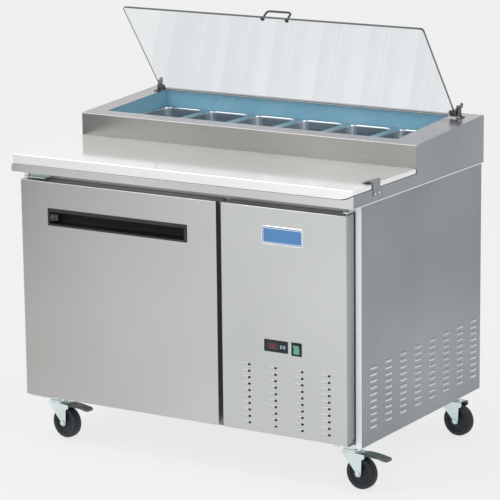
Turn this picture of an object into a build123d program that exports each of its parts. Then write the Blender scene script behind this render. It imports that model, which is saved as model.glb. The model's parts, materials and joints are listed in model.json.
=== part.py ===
"""Refrigerated prep table: one door, raised pan rail under a glass lid, side-mounted cooling unit, casters.

Millimetres. +X is to the right as seen by the person standing at the table, +Y is to the back, +Z is up.
Everything is built about the middle of the worktop, with the floor at z = 0. The finished pieces are then
moved together, so that the origin is the middle of the whole footprint, caster pedal included.
"""
from build123d import *
import math
import os

# ---- driving dimensions ------------------------------------------------------------------------------
sheet = 1.2                      # stainless sheet of covers and panels
plate = 1.5                      # heavier stainless sheet of the worktop and side plates
gap = 0.1                        # between pieces that rest against each other

half_width = 610.0               # worktop, out to the faces of the side plates
front = -410.0                   # worktop, door and service panel share this front plane
rear = 410.0

caster_height = 135.0            # floor to the underside of the cabinet
worktop_bottom = 864.0
tray_top = 888.0                 # steel tray that the board lies on
side_plate_top = 904.0           # side plates beside the board
board_top = 919.0
rail_front = -27.0               # upright front face of the pan rail
rail_front_top = 990.0
rail_rear_top = 1015.0
rail_slope = (rail_rear_top - rail_front_top) / (rear - rail_front)
rail_angle = math.degrees(math.atan(rail_slope))

cabinet_side = 606.0             # outer face of the cabinet side panels
cabinet_front = -358.0
cabinet_rear = 406.0
return_width = 20.0              # folded edges of the side panels, seen beside the door and the panel
frame_depth = 18.0
frame_half = cabinet_side - return_width - 0.2

door_left, door_right = -577.0, 139.0
panel_left, panel_right = 155.5, 584.0
door_bottom, door_top = 151.5, 842.0
door_back = -364.0               # inner face of the door and rear edge of the service panel
pivot_inset = 10.0               # hinge axes, in from the outer edges
pivot_y = -386.0
pivot_radius = 4.0
running_fit = 0.05
bearing_depth = 22.0             # how far the hinge pins reach into the door and the service panel
bearing_half = 9.0               # half the width of the blocks that they turn in
door_leaf, panel_leaf = 72.0, 8.0  # hinge leaves, from the axis towards the middle of the table
door_pivot_x = door_left + pivot_inset
panel_pivot_x = panel_right - pivot_inset

opening_left, opening_right = -545.0, 110.0
opening_bottom, opening_top = 180.0, 815.0
service_left, service_right = 170.0, 560.0
service_bottom, service_top = 165.0, 830.0
liner_back = 346.0
compartment_wall = 168.0         # right face of the insulated wall beside the cooling unit
caster_pad = 7.0                 # thickness of the cabinet floor over each caster
line_hole = 16.0                 # radius of the passage for the refrigerant tubes

well_left, well_right = -545.0, 515.0
well_front, well_back = 24.0, 363.0
well_bottom = 845.0
pan_count = 6
pan_width, pan_length, pan_depth = 175.0, 324.0, 100.0
pan_pitch = 176.2
pan_top = 959.0
pan_sheet = 1.0
pan_rim = 12.0                   # flat rim round the mouth
pan_taper = 4.0                  # degrees
pan_rim_corner, pan_mouth_corner = 14.0, 24.0
pan_first = (well_left + well_right) / 2 - (pan_count - 1) / 2 * pan_pitch
pan_centre_y = (well_front + well_back) / 2

lid_half_width = 547.0
lid_length = 366.0
lid_thickness = 8.0
lid_open_angle = 54.0            # above the horizontal, leaning towards the front
lid_pivot_y, lid_pivot_z = 347.0, 1042.0
lid_edge_y, lid_edge_z = 339.9, 1020.2            # lower edge of the open glass, mid-thickness
lid_closing = lid_open_angle + rail_angle
lid_handle_x = 20.0
lid_handle_half = 44.0           # half the distance between the handle's feet
lid_handle_inset = 10.0          # feet, in from the free edge of the glass
lid_handle_stand = 28.0          # clear height under the handle
lid_handle_bar = 3.5             # radius of the bar
lid_foot_radius = 7.0
lid_foot_thickness = 1.5
lid_bolt_radius = 3.0
lid_arm_left, lid_arm_right = 548.5, 554.0        # hinge arm beside each end of the glass
lid_jaw_wall = 2.0                # clamp material outside the glass
lid_jaw_reach = 18.0             # clamp length up the glass
lid_cheek_left, lid_cheek_right = 556.0, 559.5    # fixed hinge cheek on each side
lid_cheek_head = 8.0             # radius of the cheek round the pin, and of the lug behind it
lid_lug_hole = 4.5
lid_foot_left, lid_foot_right = 555.0, 569.0
lid_foot_sheet = 3.0
lid_bracket_front, lid_bracket_back = 328.0, 360.0

wheel_radius, wheel_width = 50.0, 32.0
caster_trail = 34.0
caster_turn = -8.0               # direction in which the wheels trail, from +X
axle_radius = 5.0
kingpin_radius = 6.0
caster_spots = {
    "front_left": (-521.0, -316.0),
    "front_right": (553.0, -318.0),
    "rear_left": (-521.0, 315.0),
    "rear_right": (547.0, 315.0),
}
braked = ("front_left", "front_right")
pedal_pivot_t, pedal_pivot_z = 47.0, 106.0

louvre_rows, louvre_pitch = 10, 20.0
louvre_length, louvre_slot = 40.0, 7.0
louvre_sheet = 0.8
front_louvre_stand, side_louvre_stand = 2.2, 4.5    # how far the open end of a scoop stands out
louvre_opening = 20.0            # hole in the sheet behind the open end of a scoop
side_louvre_first_y, side_louvre_step, side_louvre_columns = -290.0, 92.0, 8
side_louvre_bottom = 185.0
front_louvre_first_x, front_louvre_step, front_louvre_columns = 231.0, 91.7, 4
front_louvre_bottom = 171.0

# ---- places of the smaller pieces --------------------------------------------------------------------
pocket_left, pocket_right = -475.0, 35.0
pocket_bottom, pocket_top = 707.0, 759.0
pocket_back = -386.0
thermostat_hole = (309.0, 380.0, 411.0, 439.5)
button_xs = (363.5, 374.0)
button_z = 425.0
thermostat_bezel = (304.0, 385.0, 407.0, 443.5)
thermostat_screen = (310.0, 355.0, 412.5, 438.0)
case_depth = 38.0
bezel_proud = 2.2
button_half_x, button_half_z, button_clear = 3.8, 5.8, 0.4
switch_hole = (402.0, 428.0, 406.5, 441.5)
switch_frame = (397.5, 432.5, 403.5, 444.5)
switch_depth = 24.0
rocker_half, trunnion_reach, trunnion_radius = 9.8, 12.0, 1.5
badge_x, badge_z = 369.5, 760.0
rocker_x, rocker_y, rocker_z = 415.0, front + 3.5, 424.0
rocker_tilt = 8.0
shelf_z = 470.0
ledge_z, ledge_depth = 952.0, 16.0
clip_front, clip_back = -298.0, -256.0
clip_rise, clip_reach = 11.0, 38.0
clip_screw_ys, clip_screw_z = (-288.0, -266.0), 890.0
lid_screw_spots = ((564.5, 333.0), (564.5, 355.0))
screw_hole = 2.2
board_relief_start, flange_start = 552.0, 560.0
bolt_radius, bolt_hole = 4.0, 4.1
gland_spot, gland_bore = (520.0, 420.0), 5.0
evaporator_box = (8.0, opening_right - 0.3, -190.0, 190.0, 500.0, 790.0)
evaporator_fan_radius = 95.0
condenser_x, condenser_z = 365.0, 288.0
condenser_fan_radius = 120.0
condenser_half, condenser_front = 150.0, -322.0
fan_shaft = 4.0
fan_y = -215.0
condenser_top = 430.0
compressor_spot = (400.0, 120.0)
can_top = 307.0
line_y, line_z = 230.0, 640.0


# ---- helpers -----------------------------------------------------------------------------------------
def block(x0, x1, y0, y1, z0, z1):
    """A box between two corners."""
    middle = Pos((x0 + x1) / 2, (y0 + y1) / 2, (z0 + z1) / 2)
    return middle * Box(x1 - x0, y1 - y0, z1 - z0)


def rod(start, end, radius):
    """A round bar from one point to another."""
    axis = Vector(*end) - Vector(*start)
    placed = Plane(origin=start, z_dir=axis.normalized())
    return placed * Cylinder(radius, axis.length, align=(Align.CENTER, Align.CENTER, Align.MIN))


def along_x(points, x0, x1):
    """A prism along X from (y, z) points."""
    face = Plane.YZ * Polygon(*points, align=None)
    return Pos(x0, 0, 0) * extrude(face, amount=x1 - x0, dir=(1, 0, 0))


def along_y(points, y0, y1):
    """A prism along Y from (x, z) points."""
    face = Plane.XZ * Polygon(*points, align=None)
    return Pos(0, y0, 0) * extrude(face, amount=y1 - y0, dir=(0, 1, 0))


def mirrored(shape):
    """The same piece on the other side of the table."""
    return mirror(shape, about=Plane.YZ)


def rail_z(y):
    """Height of the sloping rail top."""
    return rail_front_top + rail_slope * (y - rail_front)


def group(shapes):
    """Several separate solids as one node."""
    solids = [s for shape in shapes for s in shape.solids()]
    return Compound(solids)


def scoop(stand):
    """One louvre in its own axes: its hole to cut and its hood to add.

    Local +X runs from the flat tip to the open end, +Z is the height of the louvre, and the sheet's outer face
    is the local XZ plane, with the hood on its -Y side.
    """
    mouth = louvre_length / 2
    flat = [(-mouth, louvre_sheet / 2), (mouth, -stand), (mouth, louvre_sheet / 2)]
    solid = extrude(Polygon(*flat, align=None), amount=louvre_slot)
    inside = [(-mouth + 8, louvre_sheet), (mouth + 1, louvre_sheet - stand), (mouth + 1, louvre_sheet)]
    hollow = extrude(Polygon(*inside, align=None), amount=louvre_slot - 2 * louvre_sheet)
    hood = solid - Pos(0, 0, louvre_sheet) * hollow
    hole = block(mouth - louvre_opening, mouth - 2, -stand, 4, louvre_sheet, louvre_slot - louvre_sheet)
    return hole, hood


def louvres_on_x(x, y_middle, z_low):
    """One louvre on a right-hand panel face, open to the rear."""
    hole, hood = scoop(side_louvre_stand)
    place = Pos(x, y_middle, z_low) * Rot(0, 0, 90)
    return place * hole, place * hood


def louvres_on_front(y, x_middle, z_low):
    """One louvre on the service panel's front, open to the right."""
    hole, hood = scoop(front_louvre_stand)
    place = Pos(x_middle, y, z_low)
    return place * hole, place * hood


# ---- cabinet -----------------------------------------------------------------------------------------
def side_panel():
    """Right side panel: flat sheet with folded front and rear edges, no louvres yet."""
    top = worktop_bottom - gap
    web = block(cabinet_side - plate, cabinet_side, cabinet_front, cabinet_rear, caster_height, top)
    inner = cabinet_side - return_width
    front_fold = block(inner, cabinet_side, cabinet_front, cabinet_front + plate, caster_height, top)
    rear_fold = block(inner, cabinet_side, cabinet_rear - plate, cabinet_rear, caster_height, top)
    return web + front_fold + rear_fold


def louvred_side_panel():
    slots, hoods = [], []
    for column in range(side_louvre_columns):
        for row in range(louvre_rows):
            y = side_louvre_first_y + column * side_louvre_step
            slot, hood = louvres_on_x(cabinet_side, y, side_louvre_bottom + row * louvre_pitch)
            slots.append(slot)
            hoods.append(hood)
    return side_panel() - slots + hoods


def rear_panel():
    """Back sheet with a field of air slots behind the cooling unit."""
    columns, column_step, first_x, slot_length = 5, 68.0, 210.0, 52.0
    rows, row_step, first_z, slot_height = 9, 22.0, 190.0, 8.0
    y1 = cabinet_rear - plate - gap
    side = cabinet_side - plate - gap
    skin = block(-side, side, y1 - sheet, y1, caster_height + plate + gap, worktop_bottom - gap)
    slots = []
    for column in range(columns):
        for row in range(rows):
            x = first_x + column * column_step
            z = first_z + row * row_step
            slots.append(block(x, x + slot_length, y1 - 5, y1 + 5, z, z + slot_height))
    return skin - slots


def base_pan():
    """Floor of the cabinet, with a thicker pad over each caster."""
    pad_half_x, pad_half_y = 50.0, 45.0
    side = cabinet_side - plate - gap
    front_edge = cabinet_front + plate + gap
    rear_edge = cabinet_rear - plate - gap - 2
    floor = block(-side, side, front_edge, rear_edge, caster_height, caster_height + plate)
    pad_low, pad_high = caster_height + plate, caster_height + caster_pad
    for x, y in caster_spots.values():
        y0 = max(y - pad_half_y, front_edge)
        floor += block(x - pad_half_x, x + pad_half_x, y0, y + pad_half_y, pad_low, pad_high)
        for dx, dy in bolt_offsets:
            floor -= rod((x + dx, y + dy, caster_height - 1), (x + dx, y + dy, pad_high + 1), bolt_hole)
    return floor


def front_frame():
    """Frame behind the door and the service panel, with a mullion between their openings."""
    bottom = caster_height + caster_pad + gap
    top = worktop_bottom - gap
    body = block(-frame_half, frame_half, cabinet_front, cabinet_front + frame_depth, bottom, top)
    y0, y1 = cabinet_front - 5, cabinet_front + frame_depth + 5
    body -= block(opening_left, opening_right, y0, y1, opening_bottom, opening_top)
    body -= block(service_left, service_right, y0, y1, service_bottom, service_top)
    return body


def inner_liner():
    """Food compartment: a five-sided sheet box with a ledge each side for the shelf."""
    ledge_width, ledge_half_length, ledge_sheet = 12.0, 300.0, 2.0
    y0 = cabinet_front + frame_depth + gap
    box = block(opening_left - plate, opening_right + plate, y0, liner_back + plate,
                opening_bottom - plate, opening_top + plate)
    box -= block(opening_left, opening_right, y0 - 5, liner_back, opening_bottom, opening_top)
    box -= rod((opening_right - 5, line_y, line_z), (opening_right + 5, line_y, line_z), line_hole)
    ledge_top = shelf_z - 4
    ledges = []
    left_ledge = (opening_left + gap, opening_left + ledge_width)
    right_ledge = (opening_right - ledge_width, opening_right - gap)
    for x0, x1 in (left_ledge, right_ledge):
        ledges.append(block(x0, x1, -ledge_half_length, ledge_half_length, ledge_top - ledge_sheet, ledge_top))
    return group([box] + ledges)


def cabinet_foam():
    """Foamed insulation round the food compartment and under the cold well."""
    side = cabinet_side - plate - gap
    y0 = cabinet_front + frame_depth + gap
    y1 = cabinet_rear - plate - gap - sheet - gap
    low = caster_height + caster_pad + gap
    body = block(-side, compartment_wall, y0, y1, low, well_bottom - plate - gap)
    clear = plate + gap
    body -= block(opening_left - clear, opening_right + clear, y0 - 5, liner_back + clear,
                  opening_bottom - clear, opening_top + clear)
    body -= rod((opening_right, line_y, line_z), (compartment_wall + 5, line_y, line_z), line_hole)
    return body


# ---- worktop and rail --------------------------------------------------------------------------------
def corner_flange():
    """Right front corner of the tray, sweeping up to the side plate in one arc."""
    inner = half_width - plate - gap
    start = flange_start
    rise = side_plate_top - tray_top
    run = inner - start
    radius = (run ** 2 + rise ** 2) / (2 * rise)
    half_turn = math.asin(run / radius) / 2
    middle = (start + radius * math.sin(half_turn), tray_top + radius * (1 - math.cos(half_turn)))
    arc = ThreePointArc((start, tray_top), middle, (inner, side_plate_top))
    edges = [arc, Line((inner, side_plate_top), (inner, tray_top - 2)),
             Line((inner, tray_top - 2), (start, tray_top - 2)), Line((start, tray_top - 2), (start, tray_top))]
    face = Plane.XZ * make_face(edges)
    return Pos(0, front, 0) * extrude(face, amount=plate, dir=(0, 1, 0))


def worktop():
    """Steel tray under the board and the rail: a shallow folded box, open below, with the well cut out."""
    inner = half_width - plate - gap
    back = rear - plate - gap
    tray = block(-inner, inner, front, back, worktop_bottom, tray_top)
    tray -= block(-inner + plate, inner - plate, front + plate, back - plate,
                  worktop_bottom - 1, tray_top - plate)
    tray += block(-inner, inner, front, cabinet_front - 6, worktop_bottom, worktop_bottom + plate)
    margin = 8.0
    tray -= block(well_left - margin, well_right + margin, well_front - margin, well_back + margin,
                  worktop_bottom - 2, tray_top + 2)
    return tray + corner_flange()


def rail_housing():
    """Raised rail: upright front, sloping top rim with the well opening, upright back."""
    inner = half_width - plate - gap
    face = block(-inner, inner, rail_front, rail_front + plate, tray_top + gap, rail_front_top - 1)
    y_back = rear - plate
    back = block(-inner, inner, y_back, rear, worktop_bottom, rail_z(y_back) - 1)
    rim = [(rail_front, rail_front_top), (rear, rail_rear_top),
           (rear, rail_rear_top - plate), (rail_front, rail_front_top - plate)]
    top = along_x(rim, -inner, inner)
    top -= block(well_left, well_right, well_front, well_back, rail_front_top - 30, rail_rear_top + 30)
    return face + back + top


def rail_side_plates():
    """One plate at each end, from the front of the tray to the back of the rail; the right one stands up
    beside the board.
    """
    behind = [(front, worktop_bottom), (rear, worktop_bottom), (rear, rail_rear_top), (rail_front, rail_front_top)]
    right = behind + [(rail_front, side_plate_top), (front, side_plate_top)]
    left = behind + [(rail_front, tray_top), (front, tray_top)]
    return group([along_x(right, half_width - plate, half_width),
                  along_x(left, -half_width, plate - half_width)])


def well_liner():
    """Cold well that the pans hang in, with a ledge round it for the divider bars."""
    under_rim = plate + 0.3
    rest_width = 10.0
    x0, x1 = well_left + gap, well_right - gap
    y0, y1 = well_front + gap, well_back - gap
    floor = well_bottom - plate
    outline = [(y0, floor), (y1, floor), (y1, rail_z(y1) - under_rim), (y0, rail_z(y0) - under_rim)]
    box = along_x(outline, x0, x1)
    box -= block(x0 + plate, x1 - plate, y0 + plate, y1 - plate, well_bottom, rail_rear_top + 5)
    z0, z1 = ledge_z - plate, ledge_z
    box += block(x0 + 1, x1 - 1, y0 + 1, y0 + ledge_depth, z0, z1)
    box += block(x0 + 1, x1 - 1, y1 - ledge_depth, y1 - 1, z0, z1)
    rest = pan_top - pan_sheet - gap
    box += block(x0 + 1, x0 + rest_width, y0 + 1, y1 - 1, rest - plate, rest)
    box += block(x1 - rest_width, x1 - 1, y0 + 1, y1 - 1, rest - plate, rest)
    return box


def divider_bars():
    """Bars across the well between neighbouring pans, which hang on them by their rims."""
    half, web_depth = 5.0, 8.0
    y0, y1 = well_front + plate + 1, well_back - plate - 1
    top = pan_top - pan_sheet - gap
    bars = []
    for index in range(pan_count - 1):
        x = pan_first + (index + 0.5) * pan_pitch
        bar = block(x - half, x + half, y0, y1, ledge_z + gap, top)
        bar += block(x - half, x + half, y0 + ledge_depth, y1 - ledge_depth, ledge_z - web_depth, top)
        bars.append(bar)
    return group(bars)


def pan(index):
    """Third-size pan with a flat rim, tapered sides and rounded corners."""
    mouth_x, mouth_y = pan_width - 2 * pan_rim, pan_length - 2 * pan_rim
    rim = extrude(RectangleRounded(pan_width, pan_length, pan_rim_corner), amount=pan_sheet)
    mouth = RectangleRounded(mouth_x, mouth_y, pan_mouth_corner)
    outside = extrude(mouth, amount=pan_sheet - pan_depth, taper=pan_taper)
    hollow = RectangleRounded(mouth_x - 2 * pan_sheet, mouth_y - 2 * pan_sheet, pan_mouth_corner - pan_sheet)
    inside = extrude(hollow, amount=2 * pan_sheet - pan_depth, taper=pan_taper)
    mouth_cut = extrude(hollow, amount=pan_sheet + 1)
    body = rim + outside - inside - mouth_cut
    return Pos(pan_first + index * pan_pitch, pan_centre_y, pan_top - pan_sheet) * body


def cutting_board():
    """Long board, relieved in an arc under its right end, so that it clears the raised corner of the tray."""
    end = half_width - plate - 1.0
    low = tray_top + 0.3
    start = board_relief_start
    rise = side_plate_top + 1 - low
    run = end - start
    radius = (run ** 2 + rise ** 2) / (2 * rise)
    half_turn = math.asin(run / radius) / 2
    middle_x = start + radius * math.sin(half_turn)
    middle_z = low + radius * (1 - math.cos(half_turn))
    edges = [
        Line((-end, low), (start, low)),
        ThreePointArc((start, low), (middle_x, middle_z), (end, low + rise)),
        Line((end, low + rise), (end, board_top)),
        Line((end, board_top), (-end, board_top)),
        Line((-end, board_top), (-end, low)),
    ]
    board_front = front + 1.5
    face = Plane.XZ * make_face(edges)
    return Pos(0, board_front, 0) * extrude(face, amount=rail_front - 1 - board_front, dir=(0, 1, 0))


def board_clip():
    """Bent clip on the right side plate, whose tip slopes down to the end of the board."""
    inner = half_width + gap
    outer = inner + plate
    crest = board_top + clip_rise
    tip_x, tip_z = half_width - clip_reach, board_top + 0.6
    foot = block(inner, outer, clip_front, clip_back, clip_screw_z - 8, clip_screw_z + 8)
    strip = [(inner, clip_screw_z), (outer, clip_screw_z), (outer, crest), (inner - 2, crest + plate),
             (tip_x, tip_z + plate), (tip_x, tip_z), (inner, crest - 0.8)]
    clip = foot + along_y(strip, clip_front, clip_back)
    for y in clip_screw_ys:
        clip -= rod((half_width - 3, y, clip_screw_z), (outer + 2, y, clip_screw_z), screw_hole)
    return clip


# ---- lid ---------------------------------------------------------------------------------------------
lid_frame = Pos(0, lid_edge_y, lid_edge_z) * Rot(180 - lid_open_angle, 0, 0)
# in lid_frame, local +Y runs up the glass from its lower edge, and local -Z is the face that is on top
# when the lid is shut


def lid_glass():
    """Pane with rounded corners and two holes for the handle's bolts."""
    corner = 10.0
    face = Pos(0, lid_length / 2) * RectangleRounded(2 * lid_half_width, lid_length, corner)
    body = extrude(face, amount=lid_thickness / 2, both=True)
    for side in (-1, 1):
        hole = Cylinder(lid_bolt_radius + 0.2, lid_thickness + 2)
        body -= Pos(lid_handle_x + side * lid_handle_half, lid_length - lid_handle_inset, 0) * hole
    return lid_frame * body


def lid_handle():
    """Round bar bent into a handle on the outer face near the free edge, its studs in the glass."""
    y = lid_length - lid_handle_inset
    outer = -lid_thickness / 2 - 0.2
    foot_face = outer - lid_foot_thickness
    crest = foot_face - lid_handle_stand - lid_handle_bar
    x0, x1 = lid_handle_x - lid_handle_half, lid_handle_x + lid_handle_half
    path = FilletPolyline((x0, y, foot_face), (x0, y, crest), (x1, y, crest), (x1, y, foot_face), radius=11)
    start = Plane(origin=(x0, y, foot_face), z_dir=path % 0)
    handle = sweep(start * Circle(lid_handle_bar), path=path)
    for x in (x0, x1):
        handle += rod((x, y, foot_face - 0.5), (x, y, outer), lid_foot_radius)
        handle += rod((x, y, foot_face), (x, y, lid_thickness / 2), lid_bolt_radius)
    return lid_frame * handle


def lid_clamps():
    """Clamp at each lower corner of the glass, with an arm back to a knuckle on the hinge pin."""
    half = lid_thickness / 2
    outside = half + lid_jaw_wall
    jaw = block(lid_half_width - 17, lid_arm_right, -lid_jaw_wall, lid_jaw_reach, -outside, outside)
    jaw -= block(lid_half_width - 18, lid_half_width + 0.3, -0.3, lid_jaw_reach + 1, -half - 0.1, half + 0.1)
    jaw = lid_frame * jaw
    edge_y, edge_z, pin_y, pin_z = lid_edge_y, lid_edge_z, lid_pivot_y, lid_pivot_z
    points = [(edge_y - 1, edge_z + 1), (edge_y + 5, edge_z + 1), (pin_y + 5, pin_z - 2), (pin_y - 5, pin_z + 4),
              (edge_y - 10, edge_z + 14)]
    arm = along_x(points, lid_arm_left, lid_arm_right)
    knuckle_end = lid_cheek_left - 0.5
    knuckle = rod((lid_arm_left, pin_y, pin_z), (knuckle_end, pin_y, pin_z), lid_cheek_head)
    clamp = jaw + arm + knuckle
    bore = pivot_radius + running_fit
    clamp -= rod((lid_arm_left - 5, pin_y, pin_z), (knuckle_end + 5, pin_y, pin_z), bore)
    return group([clamp, mirrored(clamp)])


def lid_brackets():
    """Hinge bracket on each side of the rim: foot, cheek with a holed lug, and the clamp's pin."""
    y0, y1 = lid_bracket_front, lid_bracket_back
    head = lid_cheek_head
    foot = along_x([(y0, rail_z(y0) + gap), (y1, rail_z(y1) + gap),
                    (y1, rail_z(y1) + lid_foot_sheet), (y0, rail_z(y0) + lid_foot_sheet)],
                   lid_foot_left, lid_foot_right)
    low_front, low_back = (y0 + 4, rail_z(y0 + 4) + 1), (y1 - 2, rail_z(y1 - 2) + 1)
    cheek = along_x([low_front, low_back, (lid_pivot_y + head, lid_pivot_z), (lid_pivot_y - head, lid_pivot_z)],
                    lid_cheek_left, lid_cheek_right)
    cheek += rod((lid_cheek_left, lid_pivot_y, lid_pivot_z), (lid_cheek_right, lid_pivot_y, lid_pivot_z), head)
    lug_y, lug_z = lid_pivot_y + 12, lid_pivot_z + 6
    cheek += rod((lid_cheek_left, lug_y, lug_z), (lid_cheek_right, lug_y, lug_z), head)
    cheek -= rod((lid_cheek_left - 1, lug_y, lug_z), (lid_cheek_right + 1, lug_y, lug_z), lid_lug_hole)
    pin = rod((lid_arm_left + 0.2, lid_pivot_y, lid_pivot_z), (lid_cheek_right + 2, lid_pivot_y, lid_pivot_z),
              pivot_radius)
    bracket = foot + cheek + pin
    for x, y in lid_screw_spots:
        bracket -= rod((x, y, rail_z(y) - 3), (x, y, rail_z(y) + 6), screw_hole)
    return group([bracket, mirrored(bracket)])


# ---- door and service panel --------------------------------------------------------------------------
def hinge_brackets():
    """Top and bottom brackets with pins, for the door on the left and the service panel on the right."""
    leaf_sheet, root_sheet = 3.0, 2.5
    root_y = cabinet_front - gap
    heights = (
        (door_top + 5, door_top - 20, door_top + 5, worktop_bottom - 4),
        (door_bottom - 8, door_bottom + 20, caster_height + 8, door_bottom - 5),
    )
    brackets = []
    for pivot, inward in ((door_pivot_x, door_leaf), (panel_pivot_x, -panel_leaf)):
        x0, x1 = sorted((pivot - math.copysign(panel_leaf, inward), pivot + inward))
        for leaf, tip, root_low, root_high in heights:
            piece = block(x0, x1, pivot_y - bearing_half, root_y, leaf, leaf + leaf_sheet)
            piece += block(x0, x1, cabinet_front - root_sheet, root_y, root_low, root_high)
            piece += rod((pivot, pivot_y, leaf + 1), (pivot, pivot_y, tip), pivot_radius)
            brackets.append(piece)
    return group(brackets)


def pivot_bores(pivot):
    """Holes in the top and bottom edges for the hinge pins."""
    bore = pivot_radius + running_fit
    top = rod((pivot, pivot_y, door_top + 1), (pivot, pivot_y, door_top - bearing_depth), bore)
    bottom = rod((pivot, pivot_y, door_bottom - 1), (pivot, pivot_y, door_bottom + bearing_depth), bore)
    return [top, bottom]


def bearing_blocks(x0, x1):
    """Solid blocks inside the top and bottom edges, round the hinge pins."""
    blocks = []
    length = bearing_depth + 2
    for z0, z1 in ((door_top - length, door_top - 1), (door_bottom + 1, door_bottom + length)):
        blocks.append(block(x0, x1, pivot_y - bearing_half, pivot_y + bearing_half, z0, z1))
    return blocks


def door_skin():
    """Outer shell of the door, open at the back, with a bearing block at each hinge pin."""
    body = block(door_left, door_right, front, door_back, door_bottom, door_top)
    body -= block(door_left + sheet, door_right - sheet, front + sheet, door_back + 1,
                  door_bottom + sheet, door_top - sheet)
    body -= block(pocket_left, pocket_right, front - 1, front + 5, pocket_bottom, pocket_top)
    body += bearing_blocks(door_left + 1, door_pivot_x + bearing_half)
    return body - pivot_bores(door_pivot_x)


def door_foam():
    """Insulation that fills the door round the handle pocket and the bearing blocks."""
    x0, x1 = door_left + sheet + gap, door_right - sheet - gap
    z0, z1 = door_bottom + sheet + gap, door_top - sheet - gap
    body = block(x0, x1, front + sheet + gap, door_back - 2 - gap, z0, z1)
    body -= block(pocket_left - 1, pocket_right + 1, front, pocket_back + 1, pocket_bottom - 1, pocket_top + 1)
    room = bearing_half + 1
    for low, high in ((door_top - bearing_depth - 3, door_top), (door_bottom, door_bottom + bearing_depth + 3)):
        body -= block(door_left, door_pivot_x + room, pivot_y - room, pivot_y + room, low, high)
    return body


def door_liner():
    """Inner face of the door, with a raised middle that fills out towards the compartment."""
    x0, x1 = door_left + sheet + gap, door_right - sheet - gap
    z0, z1 = door_bottom + sheet + gap, door_top - sheet - gap
    face = block(x0, x1, door_back - 2, door_back, z0, z1)
    inset, rise = 26.0, 4.0
    raised = block(opening_left + inset, opening_right - inset, door_back - 0.5, door_back + rise,
                   opening_bottom + inset, opening_top - inset)
    return face + raised


def door_gasket():
    """Magnetic seal round the door opening."""
    y0, y1 = door_back + gap, cabinet_front - 0.5
    over = 13.0
    width = 16.0
    outer = block(opening_left - over, opening_right + over, y0, y1, opening_bottom - over, opening_top + over)
    inset = width - over
    hole = block(opening_left + inset, opening_right - inset, y0 - 1, y1 + 1,
                 opening_bottom + inset, opening_top - inset)
    return outer - hole


def door_handle():
    """Recessed grip: a moulded trough with a lip that hangs down over its upper part."""
    x0, x1 = pocket_left + gap, pocket_right - gap
    z0, z1 = pocket_bottom + gap, pocket_top - gap
    wall, lip_depth, lip_height = 2.0, 5.0, 9.0
    body = block(x0, x1, front, pocket_back, z0, z1)
    body -= block(x0 + wall, x1 - wall, front + lip_depth, pocket_back - wall, z0 + wall, z1 - wall)
    body -= block(x0 + wall, x1 - wall, front - 1, front + lip_depth + 1, z0 + wall, z1 - lip_height)
    return body


def service_panel():
    """Front cover of the cooling unit: a folded tray with louvres and cut-outs for the controls."""
    body = block(panel_left, panel_right, front, door_back, door_bottom, door_top)
    body -= block(panel_left + sheet, panel_right - sheet, front + sheet, door_back + 1,
                  door_bottom + sheet, door_top - sheet)
    body += bearing_blocks(panel_pivot_x - bearing_half, panel_right - 1)
    body -= pivot_bores(panel_pivot_x)
    for x0, x1, z0, z1 in (thermostat_hole, switch_hole):
        body -= block(x0, x1, front - 1, front + 5, z0, z1)
    slots, hoods = [], []
    for column in range(front_louvre_columns):
        for row in range(louvre_rows):
            x = front_louvre_first_x + column * front_louvre_step
            slot, hood = louvres_on_front(front, x, front_louvre_bottom + row * louvre_pitch)
            slots.append(slot)
            hoods.append(hood)
    return body - slots + hoods


def panel_badge():
    """Plain oval-cornered plate with a raised border and no lettering."""
    width, height, thickness = 145.0, 56.0, 2.0
    border, field_depth = 4.0, 0.6
    shape = extrude(RectangleRounded(width, height, 9), amount=thickness)
    inner = RectangleRounded(width - 2 * border, height - 2 * border, 6)
    field = extrude(Pos(0, 0, thickness - field_depth) * inner, amount=thickness)
    placed = Plane(origin=(badge_x, front - gap, badge_z), x_dir=(1, 0, 0), z_dir=(0, -1, 0))
    return placed * (shape - field)


def thermostat():
    """Controller case with a bezel over the panel, a screen recess and two button holes."""
    x0, x1, z0, z1 = thermostat_hole
    case = block(x0 + 0.3, x1 - 0.3, front - 1, front + case_depth, z0 + 0.3, z1 - 0.3)
    left, right, low, high = thermostat_bezel
    body = case + block(left, right, front - bezel_proud, front - gap, low, high)
    left, right, low, high = thermostat_screen
    body -= block(left, right, front - 3, front - 0.8, low, high)
    half_x, half_z = button_half_x + button_clear, button_half_z + button_clear
    for x in button_xs:
        body -= block(x - half_x, x + half_x, front - 3, front + 8, button_z - half_z, button_z + half_z)
    return body


def thermostat_button(x):
    """Small push button that stands just proud of the bezel."""
    return block(x - button_half_x, x + button_half_x, front - 3.4, front + 5,
                 button_z - button_half_z, button_z + button_half_z)


def switch_bezel():
    """Case of the rocker switch."""
    x0, x1, z0, z1 = switch_hole
    case = block(x0 + 0.3, x1 - 0.3, front - 1, front + switch_depth, z0 + 0.3, z1 - 0.3)
    left, right, low, high = switch_frame
    body = case + block(left, right, front - bezel_proud, front - gap, low, high)
    half_x, half_z = rocker_half + 0.8, 15.5
    body -= block(rocker_x - half_x, rocker_x + half_x, front - 3, front + 18,
                  rocker_z - half_z, rocker_z + half_z)
    reach = trunnion_reach + 0.3
    bore = rod((rocker_x - reach, rocker_y, rocker_z), (rocker_x + reach, rocker_y, rocker_z),
               trunnion_radius + running_fit)
    return body - bore


def switch_rocker():
    """Rocker on its two trunnions, tipped to one side at rest."""
    points = [(-7.5, -13.5), (-4.0, 0), (-7.5, 13.5), (4, 12), (7, 0), (4, -12)]
    body = along_x(points, -rocker_half, rocker_half)
    body += rod((-trunnion_reach, 0, 0), (trunnion_reach, 0, 0), trunnion_radius)
    return Pos(rocker_x, rocker_y, rocker_z) * Rot(rocker_tilt, 0, 0) * body


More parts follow.
